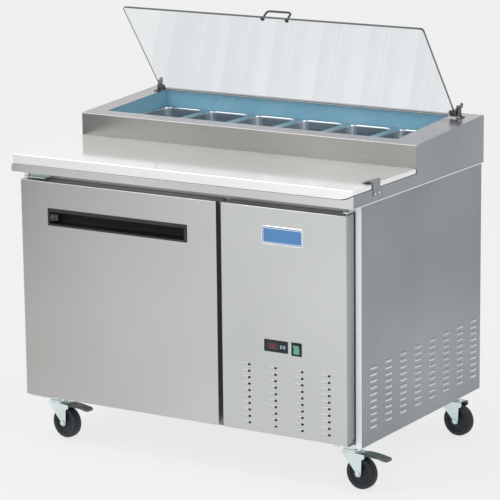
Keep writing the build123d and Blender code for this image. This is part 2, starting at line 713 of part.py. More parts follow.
# ---- inside ------------------------------------------------------------------------------------------
def wire_shelf():
    """Shelf of round wires on a rim and two bearers, resting on the liner's ledges."""
    rim_radius, bearer_radius, wire_radius, spaces = 3.5, 3.0, 2.0, 24
    x0, x1, y0, y1 = opening_left + 5, opening_right - 5, -290.0, 290.0
    shelf = rod((x0, y0, shelf_z), (x1, y0, shelf_z), rim_radius)
    shelf += rod((x0, y1, shelf_z), (x1, y1, shelf_z), rim_radius)
    for x in (x0 + 5, x1 - 5):
        shelf += rod((x, y0, shelf_z), (x, y1, shelf_z), bearer_radius)
    for index in range(1, spaces):
        x = x0 + (x1 - x0) * index / spaces
        shelf += rod((x, y0, shelf_z + 1), (x, y1, shelf_z + 1), wire_radius)
    return shelf


def evaporator_housing():
    """Fan box on the right wall of the compartment, with a round air inlet."""
    x0, x1, y0, y1, z0, z1 = evaporator_box
    body = block(x0, x1, y0, y1, z0, z1)
    body -= block(x0 + sheet, x1 + 1, y0 + sheet, y1 - sheet, z0 + sheet, z1 - sheet)
    middle_z = (z0 + z1) / 2
    body -= rod((x0 - 2, 0, middle_z), (x0 + 4, 0, middle_z), evaporator_fan_radius + 5)
    slot_count, slot_step, slot_width, slot_margin = 6, 8.0, 3.0, 30.0
    for index in range(slot_count):
        y = y0 + 20 + index * slot_step
        body -= block(x0 - 1, x0 + 4, y, y + slot_width, z0 + slot_margin, z1 - slot_margin)
    return body


def evaporator_coil():
    """Finned block behind the evaporator fan."""
    fins, fin_space, depth, margin = 14, 4.0, 34.0, 12.0
    _, x1, y0, y1, z0, z1 = evaporator_box
    x0 = x1 - depth
    coil = block(x0 + 2, x1 - 3, y0 + margin, y1 - margin, z0 + margin, z1 - margin)
    for index in range(fins):
        y = y0 + 22 + index * (y1 - y0 - 44) / (fins - 1)
        coil -= block(x0 - 1, x0 + 22, y, y + fin_space, z0 + 5, z1 - 5)
    return coil


def fan_blades(radius, depth, shaft_length):
    """Hub, pitched blades and the shaft that turns in the motor, along +Z from the origin."""
    count, pitch, blade_sheet = 5, 32.0, 1.6
    blades = Cylinder(radius * 0.24, depth)
    for index in range(count):
        blade = Pos(radius * 0.58, 0, 0) * Rot(pitch, 0, 0) * Box(radius * 0.8, depth * 1.25, blade_sheet)
        blades += Rot(0, 0, index * 360 / count) * blade
    blades = blades & Cylinder(radius, depth * 2)
    shaft = Cylinder(fan_shaft, shaft_length, align=(Align.CENTER, Align.CENTER, Align.MIN))
    return blades + Pos(0, 0, depth / 2) * shaft


def evaporator_fan():
    blades = fan_blades(evaporator_fan_radius, 12, 12)
    x0, _, _, _, z0, z1 = evaporator_box
    return Pos(x0 + 12, 0, (z0 + z1) / 2) * Rot(0, 90, 0) * blades


def condenser_fan():
    blades = fan_blades(condenser_fan_radius, 20, 16)
    return Pos(condenser_x, fan_y, condenser_z) * Rot(-90, 0, 0) * blades


def fan_motors():
    """Both motors, each with a bore for its fan's shaft and a strap to what holds it."""
    small_radius, large_radius, large_length = 20.0, 38.0, 60.0
    bore = fan_shaft + running_fit
    x0, x1, y0, y1, z0, z1 = evaporator_box
    middle_z = (z0 + z1) / 2
    start = x0 + 20
    small = rod((start, 0, middle_z), (x1 - 36, 0, middle_z), small_radius)
    small += block(start + 8, start + 11, y0 + sheet + gap, y1 - sheet - gap, middle_z - 9, middle_z + 9)
    small -= rod((start - 1, 0, middle_z), (start + 12, 0, middle_z), bore)
    x, z, begin = condenser_x, condenser_z, fan_y + 13
    low = caster_height + caster_pad + gap
    large = rod((x, begin, z), (x, begin + large_length, z), large_radius)
    large += block(x - 12, x + 12, begin + 20, begin + 50, low + 0.9, z)
    large += block(x - 45, x + 45, begin + 10, begin + large_length, low, low + 2.9)
    large -= rod((x, begin - 1, z), (x, begin + 16, z), bore)
    return group([small, large])


def condenser_coil():
    """Finned condenser just behind the front louvres."""
    depth, fins, fin_step, fin_space, margin = 60.0, 24, 12.0, 4.0, 12.0
    y0 = condenser_front
    z0, z1 = caster_height + 10, condenser_top
    coil = block(condenser_x - condenser_half, condenser_x + condenser_half, y0, y0 + depth, z0, z1)
    for index in range(fins):
        x = condenser_x - condenser_half + margin + index * fin_step
        coil -= block(x - fin_space / 2, x + fin_space / 2, y0 - 1, y0 + 24, z0 + margin, z1 - margin)
    return coil


def fan_shroud():
    """Sheet shroud from the condenser to the fan ring."""
    wall = 2.0
    x0, x1 = condenser_x - condenser_half, condenser_x + condenser_half
    y0, y1 = condenser_front + 61, fan_y + 8
    z0, z1 = caster_height + 10, condenser_top
    body = block(x0, x1, y0, y1, z0, z1)
    body -= block(x0 + wall, x1 - wall, y0 - 1, y1 - wall, z0 + wall, z1 - wall)
    ring = condenser_fan_radius + 6
    return body - rod((condenser_x, y0, condenser_z), (condenser_x, y1 + 2, condenser_z), ring)


def compressor():
    """Hermetic compressor: domed can on a foot plate with a terminal box."""
    can_radius, dome = 78.0, 45.0
    plate_half_x, plate_half_y = 100.0, 62.0
    foot_x, foot_y, foot_radius = 84.0, 46.0, 12.0
    x, y = compressor_spot
    low = caster_height + 10
    upright = (Align.CENTER, Align.CENTER, Align.MIN)
    can = Pos(x, y, low + 12) * Cylinder(can_radius, can_top - low - 12, align=upright)
    can = fillet(can.edges().filter_by(GeomType.CIRCLE).group_by(Axis.Z)[-1], dome)
    body = can + block(x - plate_half_x, x + plate_half_x, y - plate_half_y, y + plate_half_y, low + 8, low + 13)
    body += block(x - 106, x - 70, y - 24, y + 24, low + 60, low + 112)
    for dx in (-foot_x, foot_x):
        for dy in (-foot_y, foot_y):
            body += rod((x + dx, y + dy, low - 3 + gap), (x + dx, y + dy, low + 10), foot_radius)
    return body


def refrigerant_lines():
    """Copper tubes: discharge to the condenser, liquid line and suction line through the wall."""
    x, y = compressor_spot
    top = can_top + gap
    coil_top = condenser_top + 1
    liquid_x = condenser_x - 120
    inside = opening_right - 10
    routes = [
        ([(x + 30, y, top), (x + 30, y, 470), (x + 30, -290, 470), (x + 30, -290, coil_top)], 4.0),
        ([(liquid_x, -290, coil_top), (liquid_x, -290, 520), (liquid_x, line_y - 7, 520),
          (liquid_x, line_y - 7, line_z), (inside, line_y - 7, line_z)], 3.0),
        ([(x - 30, y, top), (x - 30, y, 590), (x - 30, line_y + 7, 590),
          (x - 30, line_y + 7, line_z), (inside, line_y + 7, line_z)], 5.0),
    ]
    tubes = []
    for points, radius in routes:
        path = FilletPolyline(*points, radius=18)
        start = Plane(origin=points[0], z_dir=path % 0)
        tubes.append(sweep(start * Circle(radius), path=path))
    return group(tubes)


def cord_gland():
    """Gland in the rear panel where the mains lead would leave."""
    x, z = gland_spot
    y = cabinet_rear - plate - gap
    nut = Pos(x, y + gap, z) * Rot(-90, 0, 0) * extrude(RegularPolygon(13, 6), amount=4)
    return nut - rod((x, y - 10, z), (x, y + 20, z), gland_bore)


# ---- casters -----------------------------------------------------------------------------------------
bolt_offsets = [(sx * 38.0, sy * 30.0) for sx in (-1, 1) for sy in (-1, 1)]


def caster_place(name):
    """Swivel axis on the floor, with local +X as the direction in which the wheel trails."""
    x, y = caster_spots[name]
    return Pos(x, y, 0) * Rot(0, 0, caster_turn)


def caster_plates():
    """Four fixed top plates, each with its bearing cup and kingpin."""
    plates = []
    for x, y in caster_spots.values():
        body = block(x - 48, x + 48, y - 39, y + 39, 131, caster_height - gap)
        body += rod((x, y, 124), (x, y, 132), 28)
        body += rod((x, y, 104), (x, y, 126), kingpin_radius)
        body += rod((x, y, 104), (x, y, 107.6), 10)
        for dx, dy in bolt_offsets:
            body -= rod((x + dx, y + dy, 125), (x + dx, y + dy, 140), bolt_hole)
        plates.append(body)
    return group(plates)


def caster_fork(name):
    """Swivelling fork with its axle; the front ones also carry the pedal's pin."""
    crown = block(-24, 34, -21.5, 21.5, 108, 111)
    crown += Cylinder(29, 15, align=(Align.CENTER, Align.CENTER, Align.MIN)).moved(Location((0, 0, 108)))
    side = [(-24, 111), (56, 111), (56, 99), (46, 96), (44, 50), (41, 42), (27, 42), (23, 52)]
    for y in (-21.5, 18.5):
        crown += along_y(side, y, y + 3)
    crown -= Cylinder(kingpin_radius + running_fit, 60, align=(Align.CENTER, Align.CENTER, Align.MIN)).moved(
        Location((0, 0, 90)))
    crown -= rod((0, 0, 100), (0, 0, 108.4), 11)
    if name in braked:
        crown += rod((pedal_pivot_t, -20, pedal_pivot_z), (pedal_pivot_t, 20, pedal_pivot_z), 2.5)
    crown -= rod((caster_trail, -30, wheel_radius), (caster_trail, 30, wheel_radius), axle_radius + 0.1)
    axle = rod((caster_trail, -24, wheel_radius), (caster_trail, 24, wheel_radius), axle_radius)
    axle += rod((caster_trail, -25, wheel_radius), (caster_trail, -21.6, wheel_radius), 9)
    axle += rod((caster_trail, 21.6, wheel_radius), (caster_trail, 25, wheel_radius), 9)
    return group([caster_place(name) * crown, caster_place(name) * axle])


def caster_wheel(name):
    """Wheel with rounded shoulders, a dished face each side and a bore for the axle."""
    half = wheel_width / 2
    body = Cylinder(wheel_radius, wheel_width)
    body = fillet(body.edges().filter_by(GeomType.CIRCLE), 6)
    for sign in (-1, 1):
        dish = Cylinder(34, 5) - Cylinder(14, 5)
        body -= Pos(0, 0, sign * half) * dish
    body -= Cylinder(axle_radius + running_fit, wheel_width + 2)
    return caster_place(name) * Pos(caster_trail, 0, wheel_radius) * Rot(90, 0, 0) * body


def brake_pedal(name):
    """Foot pedal hinged in the back of the fork, with its pad out behind the wheel."""
    arm = [(38, 113), (60, 115), (104, 112), (104, 108), (60, 108), (54, 101), (40, 101)]
    body = along_y(arm, -16, 16)
    body -= block(36, 60, -12, 12, 90, 109)
    pad = Pos(116, 0, 108) * Rot(0, 8, 0) * Box(40, 34, 9)
    body += fillet(pad.edges().filter_by(Axis.Z, tolerance=20), 8)
    bore = rod((pedal_pivot_t, -30, pedal_pivot_z), (pedal_pivot_t, 30, pedal_pivot_z), 2.5 + running_fit)
    return caster_place(name) * (body - bore)


# ---- fasteners ---------------------------------------------------------------------------------------
def fasteners():
    """Caster bolts, clip screws and lid bracket screws, as one group of separate solids."""
    pieces = []
    for x, y in caster_spots.values():
        for dx, dy in bolt_offsets:
            bolt = rod((x + dx, y + dy, 126), (x + dx, y + dy, caster_height + 6), bolt_radius)
            pieces.append(bolt + rod((x + dx, y + dy, 125.5), (x + dx, y + dy, 131 - gap), 6.5))
    clip_face = half_width + plate + gap
    for y in clip_screw_ys:
        head = rod((clip_face + gap, y, clip_screw_z), (clip_face + 2, y, clip_screw_z), 4)
        shank = rod((clip_face + 1, y, clip_screw_z), (half_width + gap, y, clip_screw_z), 2.0)
        pieces.append(head + shank)
    for side in (-1, 1):
        for x, y in lid_screw_spots:
            top = rail_z(y) + 3
            head = rod((side * x, y, top + 0.3), (side * x, y, top + 3), 4)
            pieces.append(head + rod((side * x, y, rail_z(y) + 0.5), (side * x, y, top + 1), 2.0))
    return group(pieces)


def build_nodes():
    """Every node by name, in the table's own position."""
    made = {
        "side_panel_left": mirrored(side_panel()),
        "side_panel_right": louvred_side_panel(),
        "rear_panel": rear_panel(),
        "base_pan": base_pan(),
        "front_frame": front_frame(),
        "inner_liner": inner_liner(),
        "cabinet_foam": cabinet_foam(),
        "worktop": worktop(),
        "rail_housing": rail_housing(),
        "rail_side_plates": rail_side_plates(),
        "well_liner": well_liner(),
        "divider_bars": divider_bars(),
        "board_clip": board_clip(),
        "cutting_board": cutting_board(),
        "lid_brackets": lid_brackets(),
        "lid_glass": lid_glass(),
        "lid_handle": lid_handle(),
        "lid_clamps": lid_clamps(),
        "hinge_brackets": hinge_brackets(),
        "door_skin": door_skin(),
        "door_foam": door_foam(),
        "door_liner": door_liner(),
        "door_gasket": door_gasket(),
        "door_handle": door_handle(),
        "service_panel": service_panel(),
        "panel_badge": panel_badge(),
        "thermostat": thermostat(),
        "button_up": thermostat_button(button_xs[0]),
        "button_down": thermostat_button(button_xs[1]),
        "switch_bezel": switch_bezel(),
        "switch_rocker": switch_rocker(),
        "wire_shelf": wire_shelf(),
        "evaporator_housing": evaporator_housing(),
        "evaporator_coil": evaporator_coil(),
        "evaporator_fan": evaporator_fan(),
        "fan_motors": fan_motors(),
        "condenser_coil": condenser_coil(),
        "fan_shroud": fan_shroud(),
        "condenser_fan": condenser_fan(),
        "compressor": compressor(),
        "refrigerant_lines": refrigerant_lines(),
        "cord_gland": cord_gland(),
        "caster_plates": caster_plates(),
        "fasteners": fasteners(),
    }
    for index in range(pan_count):
        made[f"pan_{index + 1}"] = pan(index)
    for name in caster_spots:
        made[f"caster_fork_{name}"] = caster_fork(name)
        made[f"caster_wheel_{name}"] = caster_wheel(name)
        if name in braked:
            made[f"brake_pedal_{name}"] = brake_pedal(name)
    return made


nodes = build_nodes()
boxes = [shape.bounding_box() for shape in nodes.values()]
middle_x = (min(b.min.X for b in boxes) + max(b.max.X for b in boxes)) / 2
middle_y = (min(b.min.Y for b in boxes) + max(b.max.Y for b in boxes)) / 2
print("moved by", round(-middle_x, 3), round(-middle_y, 3))

os.makedirs("parts", exist_ok=True)
for name, shape in nodes.items():
    export_step(Pos(-middle_x, -middle_y, 0) * shape, f"parts/{name}.step")
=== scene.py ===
"""Looks of the refrigerated prep table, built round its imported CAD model.

Shapes are given in millimetres about the middle of the worktop, as in the CAD source, and are moved into
the frame's metres when their meshes are made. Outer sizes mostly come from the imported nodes.
"""

import json
import math

import bmesh
import bpy
from mathutils import Matrix, Vector


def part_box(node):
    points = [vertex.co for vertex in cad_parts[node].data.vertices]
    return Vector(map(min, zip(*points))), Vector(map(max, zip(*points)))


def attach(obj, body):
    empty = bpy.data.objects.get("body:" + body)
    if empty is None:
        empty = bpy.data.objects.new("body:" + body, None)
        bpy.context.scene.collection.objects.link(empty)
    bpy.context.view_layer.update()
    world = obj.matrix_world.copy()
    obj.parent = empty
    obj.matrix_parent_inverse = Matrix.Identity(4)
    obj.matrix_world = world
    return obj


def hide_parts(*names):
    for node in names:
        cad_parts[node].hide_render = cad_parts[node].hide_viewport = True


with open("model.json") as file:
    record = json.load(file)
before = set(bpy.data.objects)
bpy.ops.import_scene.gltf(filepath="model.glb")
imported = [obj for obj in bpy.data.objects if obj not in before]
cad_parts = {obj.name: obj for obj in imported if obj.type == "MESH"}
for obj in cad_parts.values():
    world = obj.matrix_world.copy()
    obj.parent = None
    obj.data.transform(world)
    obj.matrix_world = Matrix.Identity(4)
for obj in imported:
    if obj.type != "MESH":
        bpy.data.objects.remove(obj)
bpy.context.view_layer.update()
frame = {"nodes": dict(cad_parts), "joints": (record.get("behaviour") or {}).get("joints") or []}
nodes = frame["nodes"]
joints = {joint["name"]: joint for joint in frame["joints"]}

MM = 0.001
worktop_front = -410.0
tray_top = 888.0
side_plate_top = 904.0
rail_front, rail_front_top = -27.0, 990.0
cabinet_side = 606.0            # outer face of the cabinet's side sheets
caster_trail, axle_height = 34.0, 50.0

board_low, board_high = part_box("cutting_board")
tray_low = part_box("worktop")[0]
origin = Vector(((board_low[0] + board_high[0]) / 2, tray_low[1] - worktop_front * MM, 0))


def place(x, y, z):
    """A point in the table's own millimetres as a point of the frame."""
    return Vector((x, y, z)) * MM + origin


def limits(node):
    """Lowest and highest corner of a CAD node, in the table's millimetres."""
    low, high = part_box(node)
    return (low - origin) / MM, (high - origin) / MM


# ---- meshes --------------------------------------------------------------------------------------------
class Shape:
    """Points and faces of one mesh, with a material number for each face."""

    def __init__(self):
        self.points = []
        self.faces = []
        self.marks = []

    def ring(self, points):
        first = len(self.points)
        self.points.extend(Vector(point) for point in points)
        return list(range(first, len(self.points)))

    def face(self, corners, mark=0):
        self.faces.append(tuple(corners))
        self.marks.append(mark)

    def bridge(self, a, b, mark=0, closed=True):
        count = len(a)
        for i in range(count if closed else count - 1):
            j = (i + 1) % count
            self.face((a[i], a[j], b[j], b[i]), mark)

    def loft(self, rings, mark=0, first_cap=True, last_cap=True):
        made = [self.ring(points) for points in rings]
        for a, b in zip(made, made[1:]):
            self.bridge(a, b, mark)
        if first_cap:
            self.face(reversed(made[0]), mark)
        if last_cap:
            self.face(made[-1], mark)

    def prism(self, outline, to_table, start, end, mark=0):
        """A closed outline of (a, b) points drawn out from start to end."""
        self.loft([[to_table(a, b, c) for a, b in outline] for c in (start, end)], mark)

    def box(self, x0, x1, y0, y1, z0, z1, to_table, mark=0):
        self.prism(((x0, y0), (x1, y0), (x1, y1), (x0, y1)), to_table, z0, z1, mark)

    def sheet(self, path, rows, to_table, is_hole, mark_of):
        """A bent sheet: (p, q) points along its path, straight rows across, and cells left out as holes."""
        lines = [self.ring([to_table(p, q, r) for p, q in path]) for r in rows]
        for low, high, r0, r1 in zip(lines, lines[1:], rows, rows[1:]):
            for i in range(len(path) - 1):
                (p0, q0), (p1, q1) = path[i], path[i + 1]
                middle = ((p0 + p1) / 2, (q0 + q1) / 2, (r0 + r1) / 2)
                if not is_hole(*middle):
                    self.face((low[i], low[i + 1], high[i + 1], high[i]), mark_of(*middle))

    def tray(self, size, holes, profile, to_table, mark=0, fold_mark=0):
        """A flat face of (u, v) with rectangular holes, its four edges folded along (out, in) steps.

        fold_mark is the material of the last step, the side of the tray.
        """
        u0, u1, v0, v1 = size
        us = sorted({u0, u1, *(u for hole in holes for u in hole[:2])})
        vs = sorted({v0, v1, *(v for hole in holes for v in hole[2:])})
        grid = [self.ring([to_table(u, v, 0) for u in us]) for v in vs]
        for row in range(len(vs) - 1):
            for column in range(len(us) - 1):
                u = (us[column] + us[column + 1]) / 2
                v = (vs[row] + vs[row + 1]) / 2
                if any(h[0] < u < h[1] and h[2] < v < h[3] for h in holes):
                    continue
                a, b = grid[row][column], grid[row][column + 1]
                c, d = grid[row + 1][column + 1], grid[row + 1][column]
                self.face((a, b, c, d), mark)
        border = [(u, v0) for u in us[:-1]] + [(u1, v) for v in vs[:-1]]
        border += [(u, v1) for u in reversed(us[1:])] + [(u0, v) for v in reversed(vs[1:])]
        edge = grid[0][:-1] + [line[-1] for line in grid[:-1]]
        edge += list(reversed(grid[-1][1:])) + [line[0] for line in reversed(grid[1:])]
        for step, (out, depth) in enumerate(profile):
            moved = []
            for u, v in border:
                outward_u = (u == u1) - (u == u0)
                outward_v = (v == v1) - (v == v0)
                moved.append(to_table(u + outward_u * out, v + outward_v * out, depth))
            folded = self.ring(moved)
            self.bridge(edge, folded, fold_mark if step == len(profile) - 1 else mark)
            edge = folded

    def lathe(self, profile, to_table, steps, closed=False):
        """(radius, height) points turned about the height axis."""
        rings = []
        for radius, height in profile:
            turn = [2 * math.pi * step / steps for step in range(steps)]
            rings.append([to_table(radius * math.cos(a), radius * math.sin(a), height) for a in turn])
        if closed:
            made = [self.ring(points) for points in rings]
            for a, b in zip(made, made[1:] + made[:1]):
                self.bridge(a, b)
        else:
            self.loft(rings)


def rounded(u0, u1, v0, v1, radius, steps=5):
    """Closed outline of a rectangle with round corners."""
    outline = []
    for u, v, start in ((u1 - radius, v1 - radius, 0), (u0 + radius, v1 - radius, 90),
                        (u0 + radius, v0 + radius, 180), (u1 - radius, v0 + radius, 270)):
        outline += arc(u, v, radius, start, start + 90, steps)
    return outline


def arc(u, v, radius, start, end, steps=5):
    """Points on an arc about (u, v), with its ends in degrees."""
    turns = [math.radians(start + (end - start) * step / steps) for step in range(steps + 1)]
    return [(u + radius * math.cos(turn), v + radius * math.sin(turn)) for turn in turns]


def fold(radius, depth):
    """Bend of a folded edge, then its side down to a depth, as (out, in) steps."""
    steps = 4
    turns = [math.radians(90 * step / steps) for step in range(1, steps + 1)]
    return [(radius * math.sin(turn), radius * (1 - math.cos(turn))) for turn in turns] + [(radius, depth)]


def piece(name, shape, body, materials, facing=None, thickness=0.0, bevel=0.0, stands_for=(),
          bevel_angle=50):
    """Makes one mesh piece of a shape. An open sheet names the way that its first face looks."""
    mesh = bpy.data.meshes.new(name)
    mesh.from_pydata([place(*point) for point in shape.points], [], shape.faces)
    for material in materials:
        mesh.materials.append(material)
    for polygon, mark in zip(mesh.polygons, shape.marks):
        polygon.material_index = mark
        polygon.use_smooth = True
    build = bmesh.new()
    build.from_mesh(mesh)
    bmesh.ops.delete(build, geom=[v for v in build.verts if not v.link_faces], context="VERTS")
    bmesh.ops.recalc_face_normals(build, faces=build.faces)
    build.faces.ensure_lookup_table()
    if facing and build.faces[0].normal.dot(Vector(facing)) < 0:
        bmesh.ops.reverse_faces(build, faces=build.faces)
    build.to_mesh(mesh)
    build.free()
    mesh.set_sharp_from_angle(angle=math.radians(35))
    made = bpy.data.objects.new(name, mesh)
    bpy.context.scene.collection.objects.link(made)
    if thickness:
        solid = made.modifiers.new("thickness", "SOLIDIFY")
        solid.thickness, solid.offset = thickness * MM, -1
        solid.use_even_offset = False
    if bevel:
        soften(made, bevel, bevel_angle)
    weigh = made.modifiers.new("normals", "WEIGHTED_NORMAL")
    weigh.keep_sharp = True
    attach(made, body)
    if stands_for:
        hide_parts(*stands_for)
    return made


def soften(made, width, angle=50):
    """Rounds the sharp edges by a small radius."""
    bevel = made.modifiers.new("rounded edges", "BEVEL")
    bevel.width, bevel.segments = width * MM, 3
    bevel.limit_method, bevel.angle_limit = "ANGLE", math.radians(angle)
    bevel.use_clamp_overlap = True
    bevel.harden_normals = True


def soften_cad(name, width):
    """Joins the split corners of a CAD node and rounds its edges."""
    weld = nodes[name].modifiers.new("joined corners", "WELD")
    weld.merge_threshold = 0.00001
    soften(nodes[name], width, 40)


# ---- materials -----------------------------------------------------------------------------------------
def new_material(name):
    material = bpy.data.materials.new(name)
    material.use_nodes = True
    tree = material.node_tree
    return material, tree, tree.nodes["Principled BSDF"]


def adjust(material, **values):
    """Sets further inputs of a finished material, with _ for the spaces in their names."""
    shader = material.node_tree.nodes["Principled BSDF"]
    for label, value in values.items():
        shader.inputs[label.replace("_", " ")].default_value = value


def stretched_noise(tree, scale, stretch, detail=3.0, seed=0.0):
    """Noise in object space, drawn out along one or two axes."""
    where = tree.nodes.new("ShaderNodeTexCoord")
    mapping = tree.nodes.new("ShaderNodeMapping")
    mapping.inputs["Scale"].default_value = stretch
    mapping.inputs["Location"].default_value = (seed, seed * 1.7, seed * 0.3)
    noise = tree.nodes.new("ShaderNodeTexNoise")
    noise.inputs["Scale"].default_value = scale
    noise.inputs["Detail"].default_value = detail
    tree.links.new(where.outputs["Object"], mapping.inputs["Vector"])
    tree.links.new(mapping.outputs["Vector"], noise.inputs["Vector"])
    return noise.outputs["Fac"]


def remap(tree, value, low, high, from_low=0.3, from_high=0.7):
    node = tree.nodes.new("ShaderNodeMapRange")
    node.inputs["From Min"].default_value = from_low
    node.inputs["From Max"].default_value = from_high
    node.inputs["To Min"].default_value = low
    node.inputs["To Max"].default_value = high
    tree.links.new(value, node.inputs["Value"])
    return node.outputs["Result"]


def blend_colours(tree, value, dark, light):
    node = tree.nodes.new("ShaderNodeMix")
    node.data_type = "RGBA"
    tree.links.new(value, node.inputs["Factor"])
    node.inputs[6].default_value = (*dark, 1)
    node.inputs[7].default_value = (*light, 1)
    return node.outputs[2]


def bumped(tree, shader, value, distance):
    bump = tree.nodes.new("ShaderNodeBump")
    bump.inputs["Distance"].default_value = distance
    bump.inputs["Strength"].default_value = 0.5
    tree.links.new(value, bump.inputs["Height"])
    tree.links.new(bump.outputs["Normal"], shader.inputs["Normal"])


def metal(name, dark, light, rough, grain, grain_depth=0.000004, patch=2.2, seed=0.0, light_ramp=None):
    """Sheet metal: slow colour drift, fine brushed streaks in roughness and bump.

    With a pair of x values, the tone also rises from the first x to the second: painted light, darker at one
    side of the sheet and lighter at the other.
    """
    material, tree, shader = new_material(name)
    shader.inputs["Metallic"].default_value = 1.0
    drift = remap(tree, stretched_noise(tree, patch, (1, 1, 1), 2.0, seed), 0, 1 if light_ramp is None else 0.3)
    # painted light: a tone ramp along x; once it is added, drift carries the random drift and the painted
    # light together
    if light_ramp is not None:
        where = tree.nodes.new("ShaderNodeTexCoord")
        split = tree.nodes.new("ShaderNodeSeparateXYZ")
        tree.links.new(where.outputs["Object"], split.inputs["Vector"])
        both = tree.nodes.new("ShaderNodeMath")
        both.operation = "ADD"
        tree.links.new(remap(tree, split.outputs["X"], 0.0, 0.7, *light_ramp), both.inputs[0])
        tree.links.new(drift, both.inputs[1])
        drift = both.outputs["Value"]
    tree.links.new(blend_colours(tree, drift, dark, light), shader.inputs["Base Color"])
    streaks = stretched_noise(tree, 9.0, grain, 4.0, seed + 3)
    tree.links.new(remap(tree, streaks, rough - 0.04, rough + 0.05), shader.inputs["Roughness"])
    bumped(tree, shader, streaks, grain_depth)
    return material


def plastic(name, dark, light, rough, scale=60.0, depth=0.00003, coat=0.0, seed=0.0, shine=0.5):
    """Moulded plastic or paint: slight colour drift and a fine surface texture."""
    material, tree, shader = new_material(name)
    shader.inputs["Specular IOR Level"].default_value = shine
    drift = remap(tree, stretched_noise(tree, 5.0, (1, 1, 1), 3.0, seed), 0, 1)
    tree.links.new(blend_colours(tree, drift, dark, light), shader.inputs["Base Color"])
    fine = stretched_noise(tree, scale, (1, 1, 1), 4.0, seed + 5)
    tree.links.new(remap(tree, fine, rough - 0.04, rough + 0.05), shader.inputs["Roughness"])
    shader.inputs["Coat Weight"].default_value = coat
    bumped(tree, shader, fine, depth)
    return material


def glass_material(name, dark, light, rough):
    """Toughened glass with a faint cast and a slightly uneven surface."""
    material, tree, shader = new_material(name)
    shader.inputs["Transmission Weight"].default_value = 1.0
    shader.inputs["IOR"].default_value = 1.45
    drift = remap(tree, stretched_noise(tree, 3.0, (1, 1, 1), 2.0), 0, 1)
    tree.links.new(blend_colours(tree, drift, dark, light), shader.inputs["Base Color"])
    fine = stretched_noise(tree, 40.0, (1, 1, 1), 2.0, 2.0)
    tree.links.new(remap(tree, fine, rough, rough + 0.03), shader.inputs["Roughness"])
    return material


# door steel: its tone rises from x -0.60 to x 0.05, a painted light gradient, darker at the left and lighter
# at the right
front_steel = metal("door_steel", (0.45, 0.448, 0.435), (0.61, 0.605, 0.60), 0.33, (60, 60, 1), seed=1,
                    light_ramp=(-0.60, 0.05))
panel_steel = metal("panel_steel", (0.54, 0.555, 0.555), (0.60, 0.615, 0.615), 0.33, (60, 60, 1), seed=1.5)
# cabinet sides: a darker copy of the steel, painted shade on the sheets that face sideways
shaded_side_steel = metal("cabinet_side_shade_steel", (0.245, 0.270, 0.29), (0.30, 0.330, 0.355), 0.36, (1, 60, 1), seed=2)
# side plate hems: a lighter copy of the steel, a painted highlight along the bottom edge
hem_highlight_steel = metal("hem_highlight_steel", (0.62, 0.67, 0.71), (0.72, 0.76, 0.79), 0.30, (60, 60, 1), seed=2.5)
rail_steel = metal("rail_steel", (0.33, 0.325, 0.31), (0.40, 0.395, 0.38), 0.30, (1, 60, 60), seed=3)
# rail rim: a lighter, cooler copy of the rail steel, painted light on the upward faces of the same sheet
lit_rim_steel = metal("lit_rim_steel", (0.40, 0.395, 0.41), (0.48, 0.475, 0.49), 0.26, (1, 60, 60), seed=3.5)
# front fold of the side sheets: pale blue-white, and its faint glow is painted light that brightens the fold
pale_glow_edge = plastic("pale_glow_edge", (0.82, 0.87, 0.91), (0.88, 0.92, 0.96), 0.35, coat=0.3, seed=2.7)
adjust(pale_glow_edge, Emission_Color=(0.85, 0.93, 1.0, 1), Emission_Strength=0.10)
# service panel side fold: a darker copy of the panel steel, painted shade on the sideways fold
shaded_fold_steel = metal("shaded_fold_steel", (0.33, 0.335, 0.335), (0.39, 0.395, 0.395), 0.33, (60, 60, 1), seed=1.8)
# rail end plates: a darker copy of the steel, painted shade on their sideways faces
shaded_plate_steel = metal("shaded_plate_steel", (0.29, 0.31, 0.325), (0.34, 0.36, 0.375), 0.34, (1, 60, 1), seed=2.9)
frame_grey = metal("frame_grey", (0.36, 0.362, 0.365), (0.42, 0.422, 0.425), 0.38, (1, 60, 1), seed=14.5)
# side louvre hoods: a lighter copy of the side steel, a painted highlight on hoods pressed from the same
# sheet
louvre_highlight_steel = metal("louvre_highlight_steel", (0.50, 0.54, 0.57), (0.62, 0.66, 0.69), 0.26, (1, 60, 1), seed=2.2)
tray_steel = metal("tray_steel", (0.58, 0.58, 0.57), (0.68, 0.68, 0.67), 0.30, (1, 60, 60), seed=3.7)
well_steel = plastic("well_film", (0.20, 0.44, 0.58), (0.25, 0.50, 0.64), 0.30, 40.0, 0.00003, 0.4, seed=4)
pan_steel = metal("pan_sheet", (0.52, 0.56, 0.59), (0.64, 0.68, 0.71), 0.20, (1, 1, 30), seed=5)
zinc = metal("zinc_plate", (0.66, 0.76, 0.76), (0.82, 0.88, 0.87), 0.30, (3, 3, 3), 0.00002, 12.0, seed=6)
dark_zinc = metal("dark_hardware", (0.10, 0.105, 0.11), (0.20, 0.205, 0.21), 0.34, (3, 3, 3), 0.00002, 12.0,
                  seed=6.5)
chrome = metal("chrome_trim", (0.74, 0.75, 0.76), (0.86, 0.87, 0.88), 0.14, (2, 2, 2), 0.000002, 12.0,
               seed=6.8)
fins = metal("fin_aluminium", (0.55, 0.56, 0.57), (0.70, 0.71, 0.72), 0.4, (90, 90, 1), 0.00004, 6.0, seed=7)
copper = metal("copper_tube", (0.55, 0.25, 0.14), (0.72, 0.36, 0.20), 0.3, (2, 2, 2), 0.00002, 9.0, seed=8)
motor_metal = metal("motor_metal", (0.25, 0.26, 0.27), (0.36, 0.37, 0.38), 0.42, (4, 4, 4), seed=9)
board_white = plastic("board_plastic", (0.78, 0.785, 0.775), (0.82, 0.825, 0.815), 0.12, 120.0, 0.000008, 1.0,
                      seed=10)
adjust(board_white, Metallic=0.4, Coat_IOR=1.9, Coat_Roughness=0.08)
